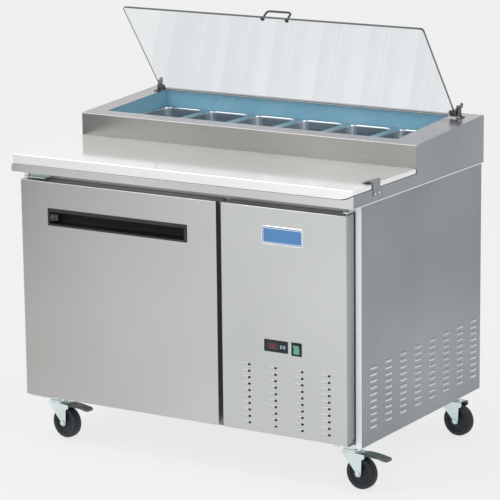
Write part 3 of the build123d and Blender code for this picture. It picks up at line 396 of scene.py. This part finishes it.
black_plastic = plastic("black_plastic", (0.008, 0.011, 0.015), (0.016, 0.020, 0.026), 0.45, seed=11,
                        shine=0.25)
grip_plastic = plastic("grip_plastic", (0.020, 0.019, 0.018), (0.032, 0.030, 0.029), 0.45, seed=11.5,
                       shine=0.3)
# door pull trough: a near-black copy of the grip plastic, painted shade in the deep recess
shaded_trough_plastic = plastic("shaded_trough_plastic", (0.004, 0.004, 0.005), (0.009, 0.009, 0.010), 0.55, seed=11.7,
                         shine=0.15)
white_plastic = plastic("white_plastic", (0.68, 0.69, 0.68), (0.76, 0.77, 0.76), 0.40, seed=12)
foam = plastic("rigid_foam", (0.60, 0.52, 0.33), (0.74, 0.66, 0.45), 0.85, 140.0, 0.0006, seed=13)
gasket_grey = plastic("gasket_grey", (0.06, 0.065, 0.07), (0.09, 0.095, 0.10), 0.6, seed=14)
dark_paint = plastic("dark_paint", (0.012, 0.018, 0.024), (0.022, 0.030, 0.038), 0.35, coat=0.3, seed=15)
badge_blue = plastic("badge_enamel", (0.030, 0.150, 0.37), (0.050, 0.205, 0.46), 0.22, coat=0.5, seed=16)
screen_red = plastic("screen_maroon", (0.016, 0.012, 0.016), (0.028, 0.018, 0.024), 0.16, coat=0.15, seed=17)
digit_red = plastic("digit_red", (0.30, 0.04, 0.06), (0.40, 0.06, 0.08), 0.30, seed=17.5)
button_grey = plastic("button_cap", (0.20, 0.27, 0.30), (0.27, 0.34, 0.37), 0.32, seed=18)
switch_green = plastic("rocker_green", (0.07, 0.28, 0.20), (0.12, 0.36, 0.26), 0.22, coat=0.4, seed=19)
tyre = plastic("wheel_rubber", (0.016, 0.020, 0.024), (0.030, 0.036, 0.042), 0.50, 90.0, 0.00008, seed=20,
               shine=0.25)
pedal_grey = plastic("pedal_pad", (0.075, 0.078, 0.080), (0.13, 0.132, 0.135), 0.42, seed=21)
brake_green = plastic("brake_body", (0.035, 0.055, 0.052), (0.060, 0.085, 0.080), 0.40, seed=21.5)
shelf_coating = plastic("shelf_wire", (0.70, 0.71, 0.70), (0.78, 0.79, 0.78), 0.3, coat=0.3, seed=22)
clear_glass = glass_material("toughened_glass", (0.905, 0.932, 0.947), (0.925, 0.950, 0.962), 0.0)
glass_edge = plastic("glass_edge", (0.035, 0.050, 0.048), (0.060, 0.080, 0.076), 0.20, coat=0.4, seed=23)

cad_materials = (
    # the left side panel and the board clip take the darker side steel, painted shade
    (shaded_side_steel, ("side_panel_left", "board_clip")),
    (tray_steel, ("worktop",)),
    # the rear panel takes the door steel, with its painted light gradient
    (front_steel, ("rear_panel",)),
    (well_steel, ("well_liner",)),
    (pan_steel, ("divider_bars",)),
    (zinc, ("base_pan", "hinge_brackets", "fan_shroud", "caster_plates", "fasteners")),
    (dark_zinc, ("lid_brackets", "lid_clamps")),
    (fins, ("inner_liner", "evaporator_coil", "condenser_coil")),
    (copper, ("refrigerant_lines",)),
    (motor_metal, ("fan_motors",)),
    (black_plastic, ("evaporator_fan", "condenser_fan", "cord_gland", "compressor")),
    (frame_grey, ("front_frame",)),
    (white_plastic, ("door_liner", "evaporator_housing")),
    (foam, ("cabinet_foam", "door_foam")),
    (gasket_grey, ("door_gasket",)),
    (dark_paint, ("lid_handle",)),
    (switch_green, ("switch_rocker",)),
    (shelf_coating, ("wire_shelf",)),
)
for material, node_names in cad_materials:
    for node_name in node_names:
        nodes[node_name].data.materials.clear()
        nodes[node_name].data.materials.append(material)
for node_name in ("worktop", "board_clip", "lid_brackets", "lid_clamps", "hinge_brackets", "divider_bars",
                  "compressor", "evaporator_housing", "door_liner", "cord_gland", "fan_motors",
                  "switch_rocker"):
    soften_cad(node_name, 0.6)


# ---- panels --------------------------------------------------------------------------------------------
SHEET = 1.2
BEND = 2.5                      # outer radius of the folded edges
louvre_rows, louvre_pitch = 10, 20.0
louvre_length, louvre_height = 40.0, 8.0
hood_start, hood_end = -0.5, 0.28        # of the louvre's length, from its middle


def on_front(u, v, depth):
    """Front face of the door, the service panel and what is set in them."""
    return (u, worktop_front + depth, v)


def add_louvre(shape, u_middle, v_low, stand, height, to_table, mark):
    """A pressed scoop: flat at one end, swelling to an open mouth at the other."""
    columns, rows = 8, 8
    lines = []
    for column in range(columns + 1):
        along = column / columns
        swell = stand * math.sin(along * math.pi / 2) ** 0.8
        half_height = height / 2 * (0.55 + 0.45 * math.sin(along * math.pi / 2))
        u = u_middle + (hood_start + along * (hood_end - hood_start)) * louvre_length
        line = []
        for row in range(rows + 1):
            across = -math.cos(math.pi * row / rows)
            out = swell * math.sqrt(max(0.0, 1 - across ** 2))
            line.append(to_table(u, v_low + louvre_height / 2 + across * half_height, -out - 0.05))
        lines.append(shape.ring(line))
    for low, high in zip(lines, lines[1:]):
        shape.bridge(low, high, mark, closed=False)


def louvre_holes(centres, bottom):
    """Openings in the sheet at the scoops' mouths, reaching a little beyond the hoods."""
    return [(u + louvre_length * 0.05, u + louvre_length * 0.49, v + 0.8, v + louvre_height - 0.8)
            for u in centres for v in louvre_levels(bottom)]


def louvre_levels(bottom):
    return [bottom + row * louvre_pitch for row in range(louvre_rows)]


def make_door():
    low, high = limits("door_skin")
    grip_low, grip_high = limits("door_handle")
    pocket = (grip_low.x, grip_high.x, grip_low.z, grip_high.z)
    shape = Shape()
    size = (low.x + BEND, high.x - BEND, low.z + BEND, high.z - BEND)
    shape.tray(size, [pocket], fold(BEND, high.y - low.y), on_front)
    piece("door_shell", shape, "door", [front_steel], (0, -1, 0), SHEET, stands_for=["door_skin"])


def make_grip():
    """Moulded pull set in the door: a proud frame, and a trough that undercuts its upper lip."""
    low, high = limits("door_handle")
    x0, x1, z0, z1 = low.x, high.x, low.z, high.z
    rings = [
        (x0 - 1.5, x1 + 1.5, z0 - 1.5, z1 + 1.5, 3.0, -0.1),
        (x0 - 1.5, x1 + 1.5, z0 - 1.5, z1 + 1.5, 3.0, -0.8),
        (x0 - 0.7, x1 + 0.7, z0 - 0.7, z1 + 0.7, 2.6, -1.5),
        (x0 + 5.0, x1 - 8.5, z0 + 3.6, z1 - 9.0, 3.0, -1.5),
        (x0 + 6.0, x1 - 9.5, z0 + 4.4, z1 - 10.0, 3.0, -0.7),
        (x0 + 7.0, x1 - 10.0, z0 + 4.6, z1 - 10.2, 3.0, 4.0),
        (x0 + 8.0, x1 - 10.0, z0 + 5.0, z1 - 4.0, 4.0, 6.5),
        (x0 + 12.0, x1 - 12.0, z0 + 7.0, z1 - 3.2, 5.0, 14.0),
        (x0 + 22.0, x1 - 16.0, z0 + 12.0, z1 - 5.0, 6.0, 21.0),
        (x0 + 30.0, x1 - 22.0, z0 + 18.0, z1 - 10.0, 6.0, 22.5),
    ]
    shape = Shape()
    made = [shape.ring([on_front(u, v, depth) for u, v in rounded(*ring, 4)]) for *ring, depth in rings]
    # frame rings take the grip plastic, trough rings its darker copy, painted shade in the recess
    for index, (a, b) in enumerate(zip(made, made[1:])):
        shape.bridge(a, b, 0 if index < 4 else 1)
    shape.face(made[-1], 1)
    piece("door_grip", shape, "door", [grip_plastic, shaded_trough_plastic], (0, -1, 0), stands_for=["door_handle"])
    ribs = Shape()
    for index in range(4):
        x = x0 + 11 + index * 6
        outline = arc(9.0, z0 + 24, 13.0 - index, 100, 250, 8) + [(12.0, z0 + 13), (12.0, z0 + 35)]
        ribs.prism(outline, lambda depth, v, u: on_front(u, v, depth), x, x + 2.2)
    piece("door_grip_ribs", ribs, "door", [pedal_grey], bevel=0.5)


def make_service_panel():
    low, high = limits("service_panel")
    case_low, case_high = limits("thermostat")
    switch_low, switch_high = limits("switch_bezel")
    inset = 3.5
    holes = [(case_low.x + inset, case_high.x - inset, case_low.z + inset, case_high.z - inset),
             (switch_low.x + inset, switch_high.x - inset, switch_low.z + inset, switch_high.z - inset)]
    columns, first, step, bottom = 4, 235.0, 91.7, 173.5
    centres = [first + step * column for column in range(columns)]
    shape = Shape()
    size = (low.x + BEND, high.x - BEND, low.z + BEND, high.z - BEND)
    holes += louvre_holes(centres, bottom)
    # the side fold takes the darker fold steel, painted shade
    shape.tray(size, holes, fold(BEND, high.y - worktop_front), on_front, 0, 1)
    for u in centres:
        for v in louvre_levels(bottom):
            add_louvre(shape, u, v, 0.9, louvre_height, on_front, 0)
    piece("service_cover", shape, "service_panel", [panel_steel, shaded_fold_steel], (0, -1, 0), 0.8,
          stands_for=["service_panel"])


def make_side_panel(name, node, side, louvred):
    """Side sheet with its front and rear edges folded in; the right one carries the louvre field."""
    low, high = limits(node)
    face, flange = cabinet_side, 20.0
    y0, y1, z0, z1 = low.y, high.y, low.z, high.z
    columns, first, step, bottom = 8, -286.0, 92.0, 181.5
    centres = [first + step * column for column in range(columns)] if louvred else []
    slots = louvre_holes(centres, bottom)
    radius = 3.0
    path = [(face - flange, y0)] + arc(face - radius, y0 + radius, radius, -90, 0)
    path += sorted({(face, y) for slot in slots for y in slot[:2]})
    path += arc(face - radius, y1 - radius, radius, 0, 90) + [(face - flange, y1)]
    rows = sorted({z0, z1, *(z for slot in slots for z in slot[2:])})

    def to_table(x, y, z):
        return (side * x, y, z)

    def is_hole(x, y, z):
        return any(slot[0] < y < slot[1] and slot[2] < z < slot[3] for slot in slots)

    shape = Shape()
    # the front fold takes the pale edge material, whose faint glow is painted light
    shape.sheet(path, rows, to_table, is_hole, lambda x, y, z: 1 if y < y0 + radius and x < face - 1 else 0)
    # louvre hoods take the lighter louvre steel, a painted highlight
    for y in centres:
        for z in louvre_levels(bottom):
            add_louvre(shape, y, z, 5.0, louvre_height * 1.3, lambda u, v, depth: (face - depth, u, v), 2)
    # the sheet takes the darker side steel, painted shade on its sideways face
    piece(name, shape, "cabinet", [shaded_side_steel, pale_glow_edge, louvre_highlight_steel], (0, -1, 0), SHEET, stands_for=[node])


# ---- rail, side plates and board -----------------------------------------------------------------------
def make_rail():
    """Rail housing: one sheet from its upright front over the sloping rim and down the back."""
    low, high = limits("rail_housing")
    well_low, well_high = limits("well_liner")
    half = high.x
    x0, x1 = well_low.x, well_high.x
    y0, y1 = well_low.y, well_high.y
    slope = 25.0 / 437.0
    tilt = math.degrees(math.atan(slope))
    radius = 4.0

    def rim_height(y):
        return rail_front_top + slope * (y - low.y)

    front_bend = arc(low.y + radius, rail_front_top - radius + 0.2, radius, 180, 90 + tilt)
    back_bend = arc(high.y - radius, rim_height(high.y) - radius, radius, 90 + tilt, 0)
    path = [(low.y, tray_top + 0.2)] + front_bend + [(y0, rim_height(y0)), (y1, rim_height(y1))] + back_bend
    path += [(high.y, low.z)]

    def is_hole(y, z, x):
        return x0 < x < x1 and y0 < y < y1 and z > rail_front_top - 20

    shape = Shape()
    # faces along the top and rim take the lighter rim steel, painted light on the upward faces
    shape.sheet(path, [-half, x0, x1, half], lambda y, z, x: (x, y, z), is_hole,
                lambda y, z, x: 1 if z > rail_front_top - 1.2 and y < high.y - 1 else 0)
    piece("rail_shell", shape, "cabinet", [rail_steel, lit_rim_steel], (0, -1, 0), 1.5, 0.5,
          stands_for=["rail_housing"], bevel_angle=60)


def make_side_plates():
    """Plate at each end of the tray and rail, with a folded hem; the right one rises beside the board."""
    low, high = limits("rail_side_plates")
    behind = [(low.y, low.z), (high.y, low.z)]
    behind += arc(high.y - 4, high.z - 4, 4, 0, 87)
    behind += arc(rail_front + 4, rail_front_top - 4, 4, 93, 180)
    for name, side, top in (("left", -1, tray_top), ("right", 1, side_plate_top)):
        outline = behind + [(rail_front, top + 6)] + list(reversed(arc(rail_front - 6, top + 6, 6, 270, 360)))
        outline += arc(low.y + 5, top - 5, 5, 90, 180)
        shape = Shape()
        inner, outer = side * 608.5, side * high.x
        shape.prism(outline, lambda y, z, x: (x, y, z), inner, outer)
        hem_left, hem_right = sorted((outer, outer + side * 1.4))
        hem = rounded(low.z - 0.4, low.z + 3.6, hem_left, hem_right, 0.6, 3)
        # the hem takes the lighter hem steel, a painted highlight along the plate's bottom edge
        shape.prism(hem, lambda z, x, y: (x, y, z), low.y, high.y, 1)
        # the plate takes the darker plate steel, painted shade on its sideways face
        piece(f"side_plate_{name}", shape, "cabinet", [shaded_plate_steel, hem_highlight_steel], bevel=0.5,
              stands_for=["rail_side_plates"])


def make_board():
    """Board with softened edges, relieved in an arc under its right end."""
    low, high = limits("cutting_board")
    start, radius = 552.0, 4.0
    end = high.x
    rise = 905.0 - low.z
    run = end - start
    curve = (run ** 2 + rise ** 2) / (2 * rise)
    turn = math.degrees(math.asin(run / curve))
    right = arc(start, low.z + curve, curve, 270, 270 + turn, 8)
    right += [(end, low.z + rise + 2)] + arc(end - radius, high.z - radius, radius, 0, 90)
    left = arc(-end + radius, high.z - radius, radius, 90, 180) + [(-end, low.z)]
    outline = right + left
    shape = Shape()
    shape.prism(outline, lambda x, z, y: (x, y, z), low.y, high.y)
    piece("board_slab", shape, "cutting_board", [board_white], bevel=2.5, stands_for=["cutting_board"],
          bevel_angle=70)


# ---- pans and lid --------------------------------------------------------------------------------------
def make_pans():
    """Pressed pans: flat rim, rounded shoulder, tapered walls and a dished floor."""
    for index in range(6):
        node = f"pan_{index + 1}"
        low, high = limits(node)
        cx, cy, top = (low.x + high.x) / 2, (low.y + high.y) / 2, high.z
        half_x, half_y = (high.x - low.x) / 2, (high.y - low.y) / 2
        overhang = 12.5
        depth = high.z - low.z
        steps = [(0.0, -0.9, 14), (0.0, -0.3, 14), (0.5, 0.0, 13.6), (overhang - 3.0, 0.0, 25),
                 (overhang - 1.0, -0.6, 24), (overhang, -3.0, 23), (overhang + 0.4, -6.0, 23)]
        steps += [(overhang + 5.5, -depth + 16, 24), (overhang + 7.5, -depth + 8, 25),
                  (overhang + 11.5, -depth + 3, 26), (overhang + 18, -depth + 1.2, 24),
                  (overhang + 34, -depth + 1.6, 14)]
        rings = []
        for inset, drop, radius in steps:
            in_x, in_y = half_x - inset, half_y - inset
            outline = rounded(cx - in_x, cx + in_x, cy - in_y, cy + in_y, radius, 6)
            rings.append([(x, y, top + drop) for x, y in outline])
        shape = Shape()
        shape.loft(rings, first_cap=False)
        piece(f"food_pan_{index + 1}", shape, node, [pan_steel], (0, 0, 1), 0.8, stands_for=[node])


def make_lid():
    """Glass pane with ground edges and round corners."""
    open_angle = 54.0
    edge_y, edge_z = 339.9, 1020.2
    half_width, length, half = 547.0, 366.0, 4.0
    ahead = Vector((0, -math.cos(math.radians(open_angle)), math.sin(math.radians(open_angle))))
    face_up = Vector((0, -ahead.z, ahead.y))

    def to_table(u, v, w):
        return Vector((u, edge_y, edge_z)) + ahead * v + face_up * w

    chamfer = 0.8
    rings = []
    for inset, height in ((chamfer, -half), (0, -half + chamfer), (0, half - chamfer), (chamfer, half)):
        outline = rounded(-half_width + inset, half_width - inset, inset, length - inset, 10 - inset, 6)
        rings.append([to_table(u, v, height) for u, v in outline])
    shape = Shape()
    made = [shape.ring(points) for points in rings]
    for a, b in zip(made, made[1:]):
        shape.bridge(a, b, 1)
    shape.face(reversed(made[0]), 0)
    shape.face(made[-1], 0)
    piece("lid_pane", shape, "lid", [clear_glass, glass_edge], stands_for=["lid_glass"])


# ---- badge and controls --------------------------------------------------------------------------------
def make_badge():
    """Plain plate: chromed raised border, thin inner line, no lettering."""
    low, high = limits("panel_badge")
    border = 4.0
    line = 2.0
    spans = [(0.0, -0.1, 9, 1), (0.0, -1.6, 9, 1), (0.8, -2.2, 8.4, 1), (border - 0.6, -2.2, 6, 1),
             (border, -1.5, 5.6, 0), (border + line, -1.5, 4.4, 1), (border + line + 0.5, -1.8, 4.2, 1),
             (border + line + 1.3, -1.8, 4, 1), (border + line + 1.8, -1.5, 3.8, 0)]
    shape = Shape()
    made = []
    for inset, depth, radius, _ in spans:
        outline = rounded(low.x + inset, high.x - inset, low.z + inset, high.z - inset, radius)
        made.append(shape.ring([on_front(u, v, depth) for u, v in outline]))
    for index, (a, b) in enumerate(zip(made, made[1:])):
        shape.bridge(a, b, spans[index][3])
    shape.face(made[-1], 0)
    piece("badge_plate", shape, "service_panel", [badge_blue, chrome], (0, -1, 0), stands_for=["panel_badge"])


def add_digit(shape, digit, u, v, width, height, depth):
    """One seven-segment numeral, drawn as thin bars."""
    segments = {"3": "abcdg", "8": "abcdefg"}
    bar = height * 0.13
    middle = v + height / 2
    spots = {
        "a": (u + bar, u + width - bar, v + height - bar, v + height),
        "g": (u + bar, u + width - bar, middle - bar / 2, middle + bar / 2),
        "d": (u + bar, u + width - bar, v, v + bar),
        "b": (u + width - bar, u + width, middle + bar, v + height - bar),
        "c": (u + width - bar, u + width, v + bar, middle - bar),
        "f": (u, u + bar, middle + bar, v + height - bar),
        "e": (u, u + bar, v + bar, middle - bar),
    }
    for segment in segments[digit]:
        u0, u1, v0, v1 = spots[segment]
        shape.box(u0, u1, v0, v1, depth, depth - 0.3, on_front)


def make_thermostat():
    low, high = limits("thermostat")
    screen = (low.x + 6, low.x + 50, low.z + 5.5, high.z - 5.5)
    buttons = []
    for node in ("button_up", "button_down"):
        button_low, button_high = limits(node)
        x0, x1, z0, z1 = button_low.x, button_high.x, button_low.z, button_high.z
        clear = 0.5
        buttons.append((x0 - clear, x1 + clear, z0 - clear, z1 + clear))
        cap = Shape()
        face = button_low.y - worktop_front
        rings = ((0, 5.0), (0, face + 1.2), (0.5, face + 0.4), (1.4, face))
        cap.loft([[on_front(u, v, depth) for u, v in
                   rounded(x0 + inset, x1 - inset, z0 + inset, z1 - inset, 2.0 - inset * 0.6)]
                  for inset, depth in rings])
        piece(f"{node}_cap", cap, node, [button_grey], stands_for=[node])
    shape = Shape()
    size = (low.x + 1.2, high.x - 1.2, low.z + 1.2, high.z - 1.2)

    def on_bezel(u, v, depth):
        return on_front(u, v, depth - 2.2)

    shape.tray(size, [screen] + buttons, fold(1.2, 2.1), on_bezel)
    piece("thermostat_bezel", shape, "service_panel", [black_plastic], (0, -1, 0), 0.8,
          stands_for=["thermostat"])
    window = Shape()
    window.box(low.x + 5, high.x - 4.5, low.z + 4, high.z - 4, 4.0, -0.9, on_front)
    piece("thermostat_window", window, "service_panel", [screen_red], bevel=0.4, stands_for=["thermostat"])
    numerals = Shape()
    for index, digit in enumerate("38"):
        add_digit(numerals, digit, screen[0] + 10 + index * 13, screen[2] + 5, 9.0, 15.0, -0.9)
    piece("thermostat_digits", numerals, "service_panel", [digit_red])


def make_switch():
    low, high = limits("switch_bezel")
    rocker_low, rocker_high = limits("switch_rocker")
    clear = 0.7
    pivot = (joints["switch_rock"]["pos_m"][2] - origin.z) / MM
    half_height = max(rocker_high.z - pivot, pivot - rocker_low.z) + clear
    hole = (rocker_low.x + 2.2 - clear, rocker_high.x - 2.2 + clear, pivot - half_height, pivot + half_height)
    shape = Shape()
    size = (low.x + 1.5, high.x - 1.5, low.z + 1.5, high.z - 1.5)
    shape.tray(size, [hole], fold(1.5, 2.1), lambda u, v, depth: on_front(u, v, depth - 2.2))
    piece("switch_frame", shape, "service_panel", [black_plastic], (0, -1, 0), 1.0,
          stands_for=["switch_bezel"])
    well = Shape()
    well.loft([[on_front(u, v, depth) for u, v in rounded(*hole, 1.0)] for depth in (-1.4, 16.0)],
              first_cap=False)
    piece("switch_well", well, "service_panel", [black_plastic], (0, 0, -1), stands_for=["switch_bezel"])


# ---- casters -------------------------------------------------------------------------------------------
def caster_frame(name):
    """Turns caster coordinates (trailing, sideways, up) into the table's."""
    swivel = (Vector(joints[f"swivel_{name}"]["pos_m"]) - origin) / MM
    axle = Vector(joints[f"roll_{name}"]["axis"])
    trail = Vector((axle.y, -axle.x, 0))
    sideways = Vector((axle.x, axle.y, 0))

    def to_table(t, s, z):
        return Vector((swivel.x, swivel.y, z)) + trail * t + sideways * s
    return to_table


def make_wheel(name, to_table):
    """Moulded wheel: rounded tread, stepped web and a hub with a bore."""
    half_side = [(5.2, 15.2), (10.5, 15.2), (11.5, 14.2), (13.0, 10.5), (16.0, 9.2), (30.0, 8.4),
                 (33.0, 9.4), (35.0, 13.6), (37.0, 14.8), (42.0, 15.8), (45.5, 15.4), (48.2, 13.2),
                 (49.5, 9.8), (50.0, 5.0)]
    profile = half_side + [(50.0, 0.0)] + [(radius, -across) for radius, across in reversed(half_side)]
    shape = Shape()
    shape.lathe(profile, lambda a, b, across: to_table(caster_trail + a, across, axle_height + b), 56,
                closed=True)
    piece(f"wheel_{name}", shape, f"wheel_{name}", [tyre], stands_for=[f"caster_wheel_{name}"])


def make_fork(name, to_table):
    """Pressed fork: swivel head with a raceway, crown plate, two tapered legs and the axle bolt."""
    shape = Shape()
    head = [(7.0, 111.5), (28.5, 111.5), (29.0, 113.0), (29.0, 115.5), (27.5, 116.3), (29.0, 117.1),
            (28.6, 120.0), (26.0, 122.6), (20.0, 123.0), (7.0, 123.0)]
    shape.lathe(head, to_table, 48, closed=True)
    shape.box(-24.5, 42, -21.4, 21.4, 108, 111.2, to_table)
    leg = [(-26, 112), (-26, 105), (23.8, 54)] + arc(caster_trail, axle_height, 10.5, 190, 350, 8)
    leg += [(45.5, 60), (47, 94), (56, 99), (57, 112)]
    for inner, outer in ((-18.4, -21.6), (18.4, 21.6)):
        shape.prism(leg, lambda t, z, s: to_table(t, s, z), inner, outer)
    for side in (-1, 1):
        hexagon = arc(caster_trail, axle_height, 8.4, 0, 300, 5)
        shape.prism(hexagon, lambda t, z, s: to_table(t, s, z), side * 21.7, side * 26.0)
    shape.lathe([(5.0, -26.5), (5.0, 26.5)],
                lambda a, b, s: to_table(caster_trail + a, s, axle_height + b), 20)
    if f"brake_pedal_{name}" in nodes:
        shape.lathe([(2.5, -20), (2.5, 20)], lambda a, b, s: to_table(47 + a, s, 106 + b), 16)
    piece(f"fork_{name}", shape, f"caster_{name}", [zinc], bevel=0.8, stands_for=[f"caster_fork_{name}"])


def make_pedal(name, to_table):
    """Brake pedal: hinged body with a grey pad whose tread is ribbed across."""
    shape = Shape()
    body = [(38, 112.5), (60, 115.5), (84, 115), (104, 112.5), (104, 107), (84, 106.5), (60, 107), (54, 101),
            (44, 99.5), (38, 102)]
    for start, end in ((-17.5, -12.5), (12.5, 17.5)):
        shape.prism(body, lambda t, z, s: to_table(t, s, z), start, end)
    shape.prism([(40, 110.5), (60, 113), (104, 110.5), (104, 113.5), (60, 116), (40, 113.5)],
                lambda t, z, s: to_table(t, s, z), -17.0, 17.0)
    tilt = math.radians(8)

    def on_pad(t, s, z):
        return to_table(116 + t * math.cos(tilt) + z * math.sin(tilt), s,
                        108 + z * math.cos(tilt) - t * math.sin(tilt))

    rings = []
    for inset, height in ((2.0, -4.5), (0.4, -3.4), (0.0, -1.0), (0.0, 2.4), (0.8, 3.8), (2.4, 4.4)):
        outline = rounded(-20 + inset, 20 - inset, -17 + inset, 17 - inset, 9 - inset * 0.5, 6)
        rings.append([on_pad(t, s, height) for t, s in outline])
    shape.loft(rings, 1)
    for index in range(5):
        t = -10 + index * 5.5
        shape.box(t, t + 2.2, -12.5, 12.5, 4.3, 5.4, on_pad, 1)
    piece(f"pedal_{name}", shape, f"pedal_{name}", [brake_green, pedal_grey], bevel=0.4,
          stands_for=[f"brake_pedal_{name}"])


def make_casters():
    for name in ("front_left", "front_right", "rear_left", "rear_right"):
        to_table = caster_frame(name)
        make_wheel(name, to_table)
        make_fork(name, to_table)
        if f"brake_pedal_{name}" in nodes:
            make_pedal(name, to_table)


make_door()
make_grip()
make_service_panel()
make_side_panel("side_sheet_right", "side_panel_right", 1, True)
make_side_panel("side_sheet_left", "side_panel_left", -1, False)
make_rail()
make_side_plates()
make_board()
make_pans()
make_lid()
make_badge()
make_thermostat()
make_switch()
make_casters()


# ---- camera, light and floor ---------------------------------------------------------------------------
def set_camera():
    azimuth, elevation, roll = math.radians(31.86), math.radians(12.76), math.radians(-0.63)
    eye = place(4352.4, -6999.1, 2464.5)
    ahead = Vector((-math.sin(azimuth) * math.cos(elevation), math.cos(azimuth) * math.cos(elevation),
                    -math.sin(elevation)))
    data = bpy.data.cameras.new("camera")
    data.lens, data.sensor_width = 194.07, 36.0
    data.clip_start, data.clip_end = 0.1, 200.0
    camera = bpy.data.objects.new("camera", data)
    bpy.context.scene.collection.objects.link(camera)
    camera.matrix_world = (Matrix.Translation(eye) @ ahead.to_track_quat("-Z", "Y").to_matrix().to_4x4()
                           @ Matrix.Rotation(roll, 4, "Z"))
    bpy.context.scene.camera = camera


def set_world():
    """Plain pale surroundings for the camera; a soft studio gradient for light and reflections."""
    world = bpy.data.worlds.new("studio")
    bpy.context.scene.world = world
    world.use_nodes = True
    tree = world.node_tree
    tree.nodes.clear()
    out = tree.nodes.new("ShaderNodeOutputWorld")
    where = tree.nodes.new("ShaderNodeTexCoord")
    light_ramp = tree.nodes.new("ShaderNodeVectorMath")
    light_ramp.operation = "DOT_PRODUCT"
    light_ramp.inputs[1].default_value = (-0.22, -0.10, 0.25)
    tree.links.new(where.outputs["Generated"], light_ramp.inputs[0])
    level = tree.nodes.new("ShaderNodeMath")
    level.operation = "ADD"
    level.inputs[1].default_value = 0.80
    tree.links.new(light_ramp.outputs["Value"], level.inputs[0])
    studio = tree.nodes.new("ShaderNodeBackground")
    tree.links.new(level.outputs["Value"], studio.inputs["Color"])
    studio.inputs["Strength"].default_value = 1.0
    plain = tree.nodes.new("ShaderNodeBackground")
    plain.inputs["Color"].default_value = (0.872, 0.872, 0.872, 1)
    ray = tree.nodes.new("ShaderNodeLightPath")
    mix = tree.nodes.new("ShaderNodeMixShader")
    tree.links.new(ray.outputs["Is Camera Ray"], mix.inputs["Fac"])
    tree.links.new(studio.outputs["Background"], mix.inputs[1])
    tree.links.new(plain.outputs["Background"], mix.inputs[2])
    tree.links.new(mix.outputs["Shader"], out.inputs["Surface"])


def add_area_light(name, spot, target, size, power):
    data = bpy.data.lights.new(name, "AREA")
    data.shape, data.size, data.size_y, data.energy = "RECTANGLE", size[0], size[1], power
    light = bpy.data.objects.new(name, data)
    bpy.context.scene.collection.objects.link(light)
    light.location = spot
    light.rotation_mode = "QUATERNION"
    light.rotation_quaternion = (Vector(target) - Vector(spot)).to_track_quat("-Z", "Y")


def add_floor():
    """Pale floor that glows a little, so that it keeps one tone out to the horizon."""
    mesh = bpy.data.meshes.new("floor")
    half = 60.0
    mesh.from_pydata([(-half, -half, 0), (half, -half, 0), (half, half, 0), (-half, half, 0)], [],
                     [(0, 1, 2, 3)])
    floor = bpy.data.objects.new("floor", mesh)
    bpy.context.scene.collection.objects.link(floor)
    material, tree, shader = new_material("pale_floor")
    drift = remap(tree, stretched_noise(tree, 0.6, (1, 1, 1), 1.0), 0, 1)
    tree.links.new(blend_colours(tree, drift, (0.13, 0.13, 0.13), (0.14, 0.14, 0.14)),
                   shader.inputs["Base Color"])
    shader.inputs["Roughness"].default_value = 0.9
    shader.inputs["Specular IOR Level"].default_value = 0.0
    shader.inputs["Emission Color"].default_value = (1, 1, 1, 1)
    shader.inputs["Emission Strength"].default_value = 0.735
    mesh.materials.append(material)


def add_card(name, corners, first, last):
    """Studio card that only reflections see; its glow goes from the first strength to the second along X."""
    mesh = bpy.data.meshes.new(name)
    mesh.from_pydata(corners, [], [(0, 1, 2, 3)])
    card = bpy.data.objects.new(name, mesh)
    bpy.context.scene.collection.objects.link(card)
    material = bpy.data.materials.new(name)
    material.use_nodes = True
    tree = material.node_tree
    tree.nodes.clear()
    out = tree.nodes.new("ShaderNodeOutputMaterial")
    where = tree.nodes.new("ShaderNodeTexCoord")
    split = tree.nodes.new("ShaderNodeSeparateXYZ")
    tree.links.new(where.outputs["Generated"], split.inputs["Vector"])
    glow = tree.nodes.new("ShaderNodeEmission")
    tree.links.new(remap(tree, split.outputs["X"], first, last, 0.0, 1.0), glow.inputs["Strength"])
    tree.links.new(glow.outputs["Emission"], out.inputs["Surface"])
    mesh.materials.append(material)
    card.visible_camera = False
    card.visible_shadow = False
    card.visible_diffuse = False


set_camera()
set_world()
add_floor()
add_card("front_card", [(-2.6, -2.3, 0.0), (0.3, -2.3, 0.0), (0.3, -2.3, 1.1), (-2.6, -2.3, 1.1)], 0.45, 1.35)
add_card("dark_card", [(-2.0, -1.0, 0.5), (-1.17, -1.0, 0.5), (-1.17, -1.0, 0.86), (-2.0, -1.0, 0.86)],
         0.02, 0.05)
add_card("right_card", [(0.9, -0.6, 0.0), (0.9, 1.9, 0.0), (2.6, 1.9, 0.02), (2.6, -0.6, 0.02)], 1.15, 1.0)
add_area_light("key", (-2.0, -3.0, 4.0), (0, 0, 0.7), (3.0, 3.0), 60)
add_area_light("right_fill", (3.2, -1.0, 3.2), (0, 0, 0.8), (2.0, 2.0), 30)
bpy.context.scene.view_settings.view_transform = "Standard"
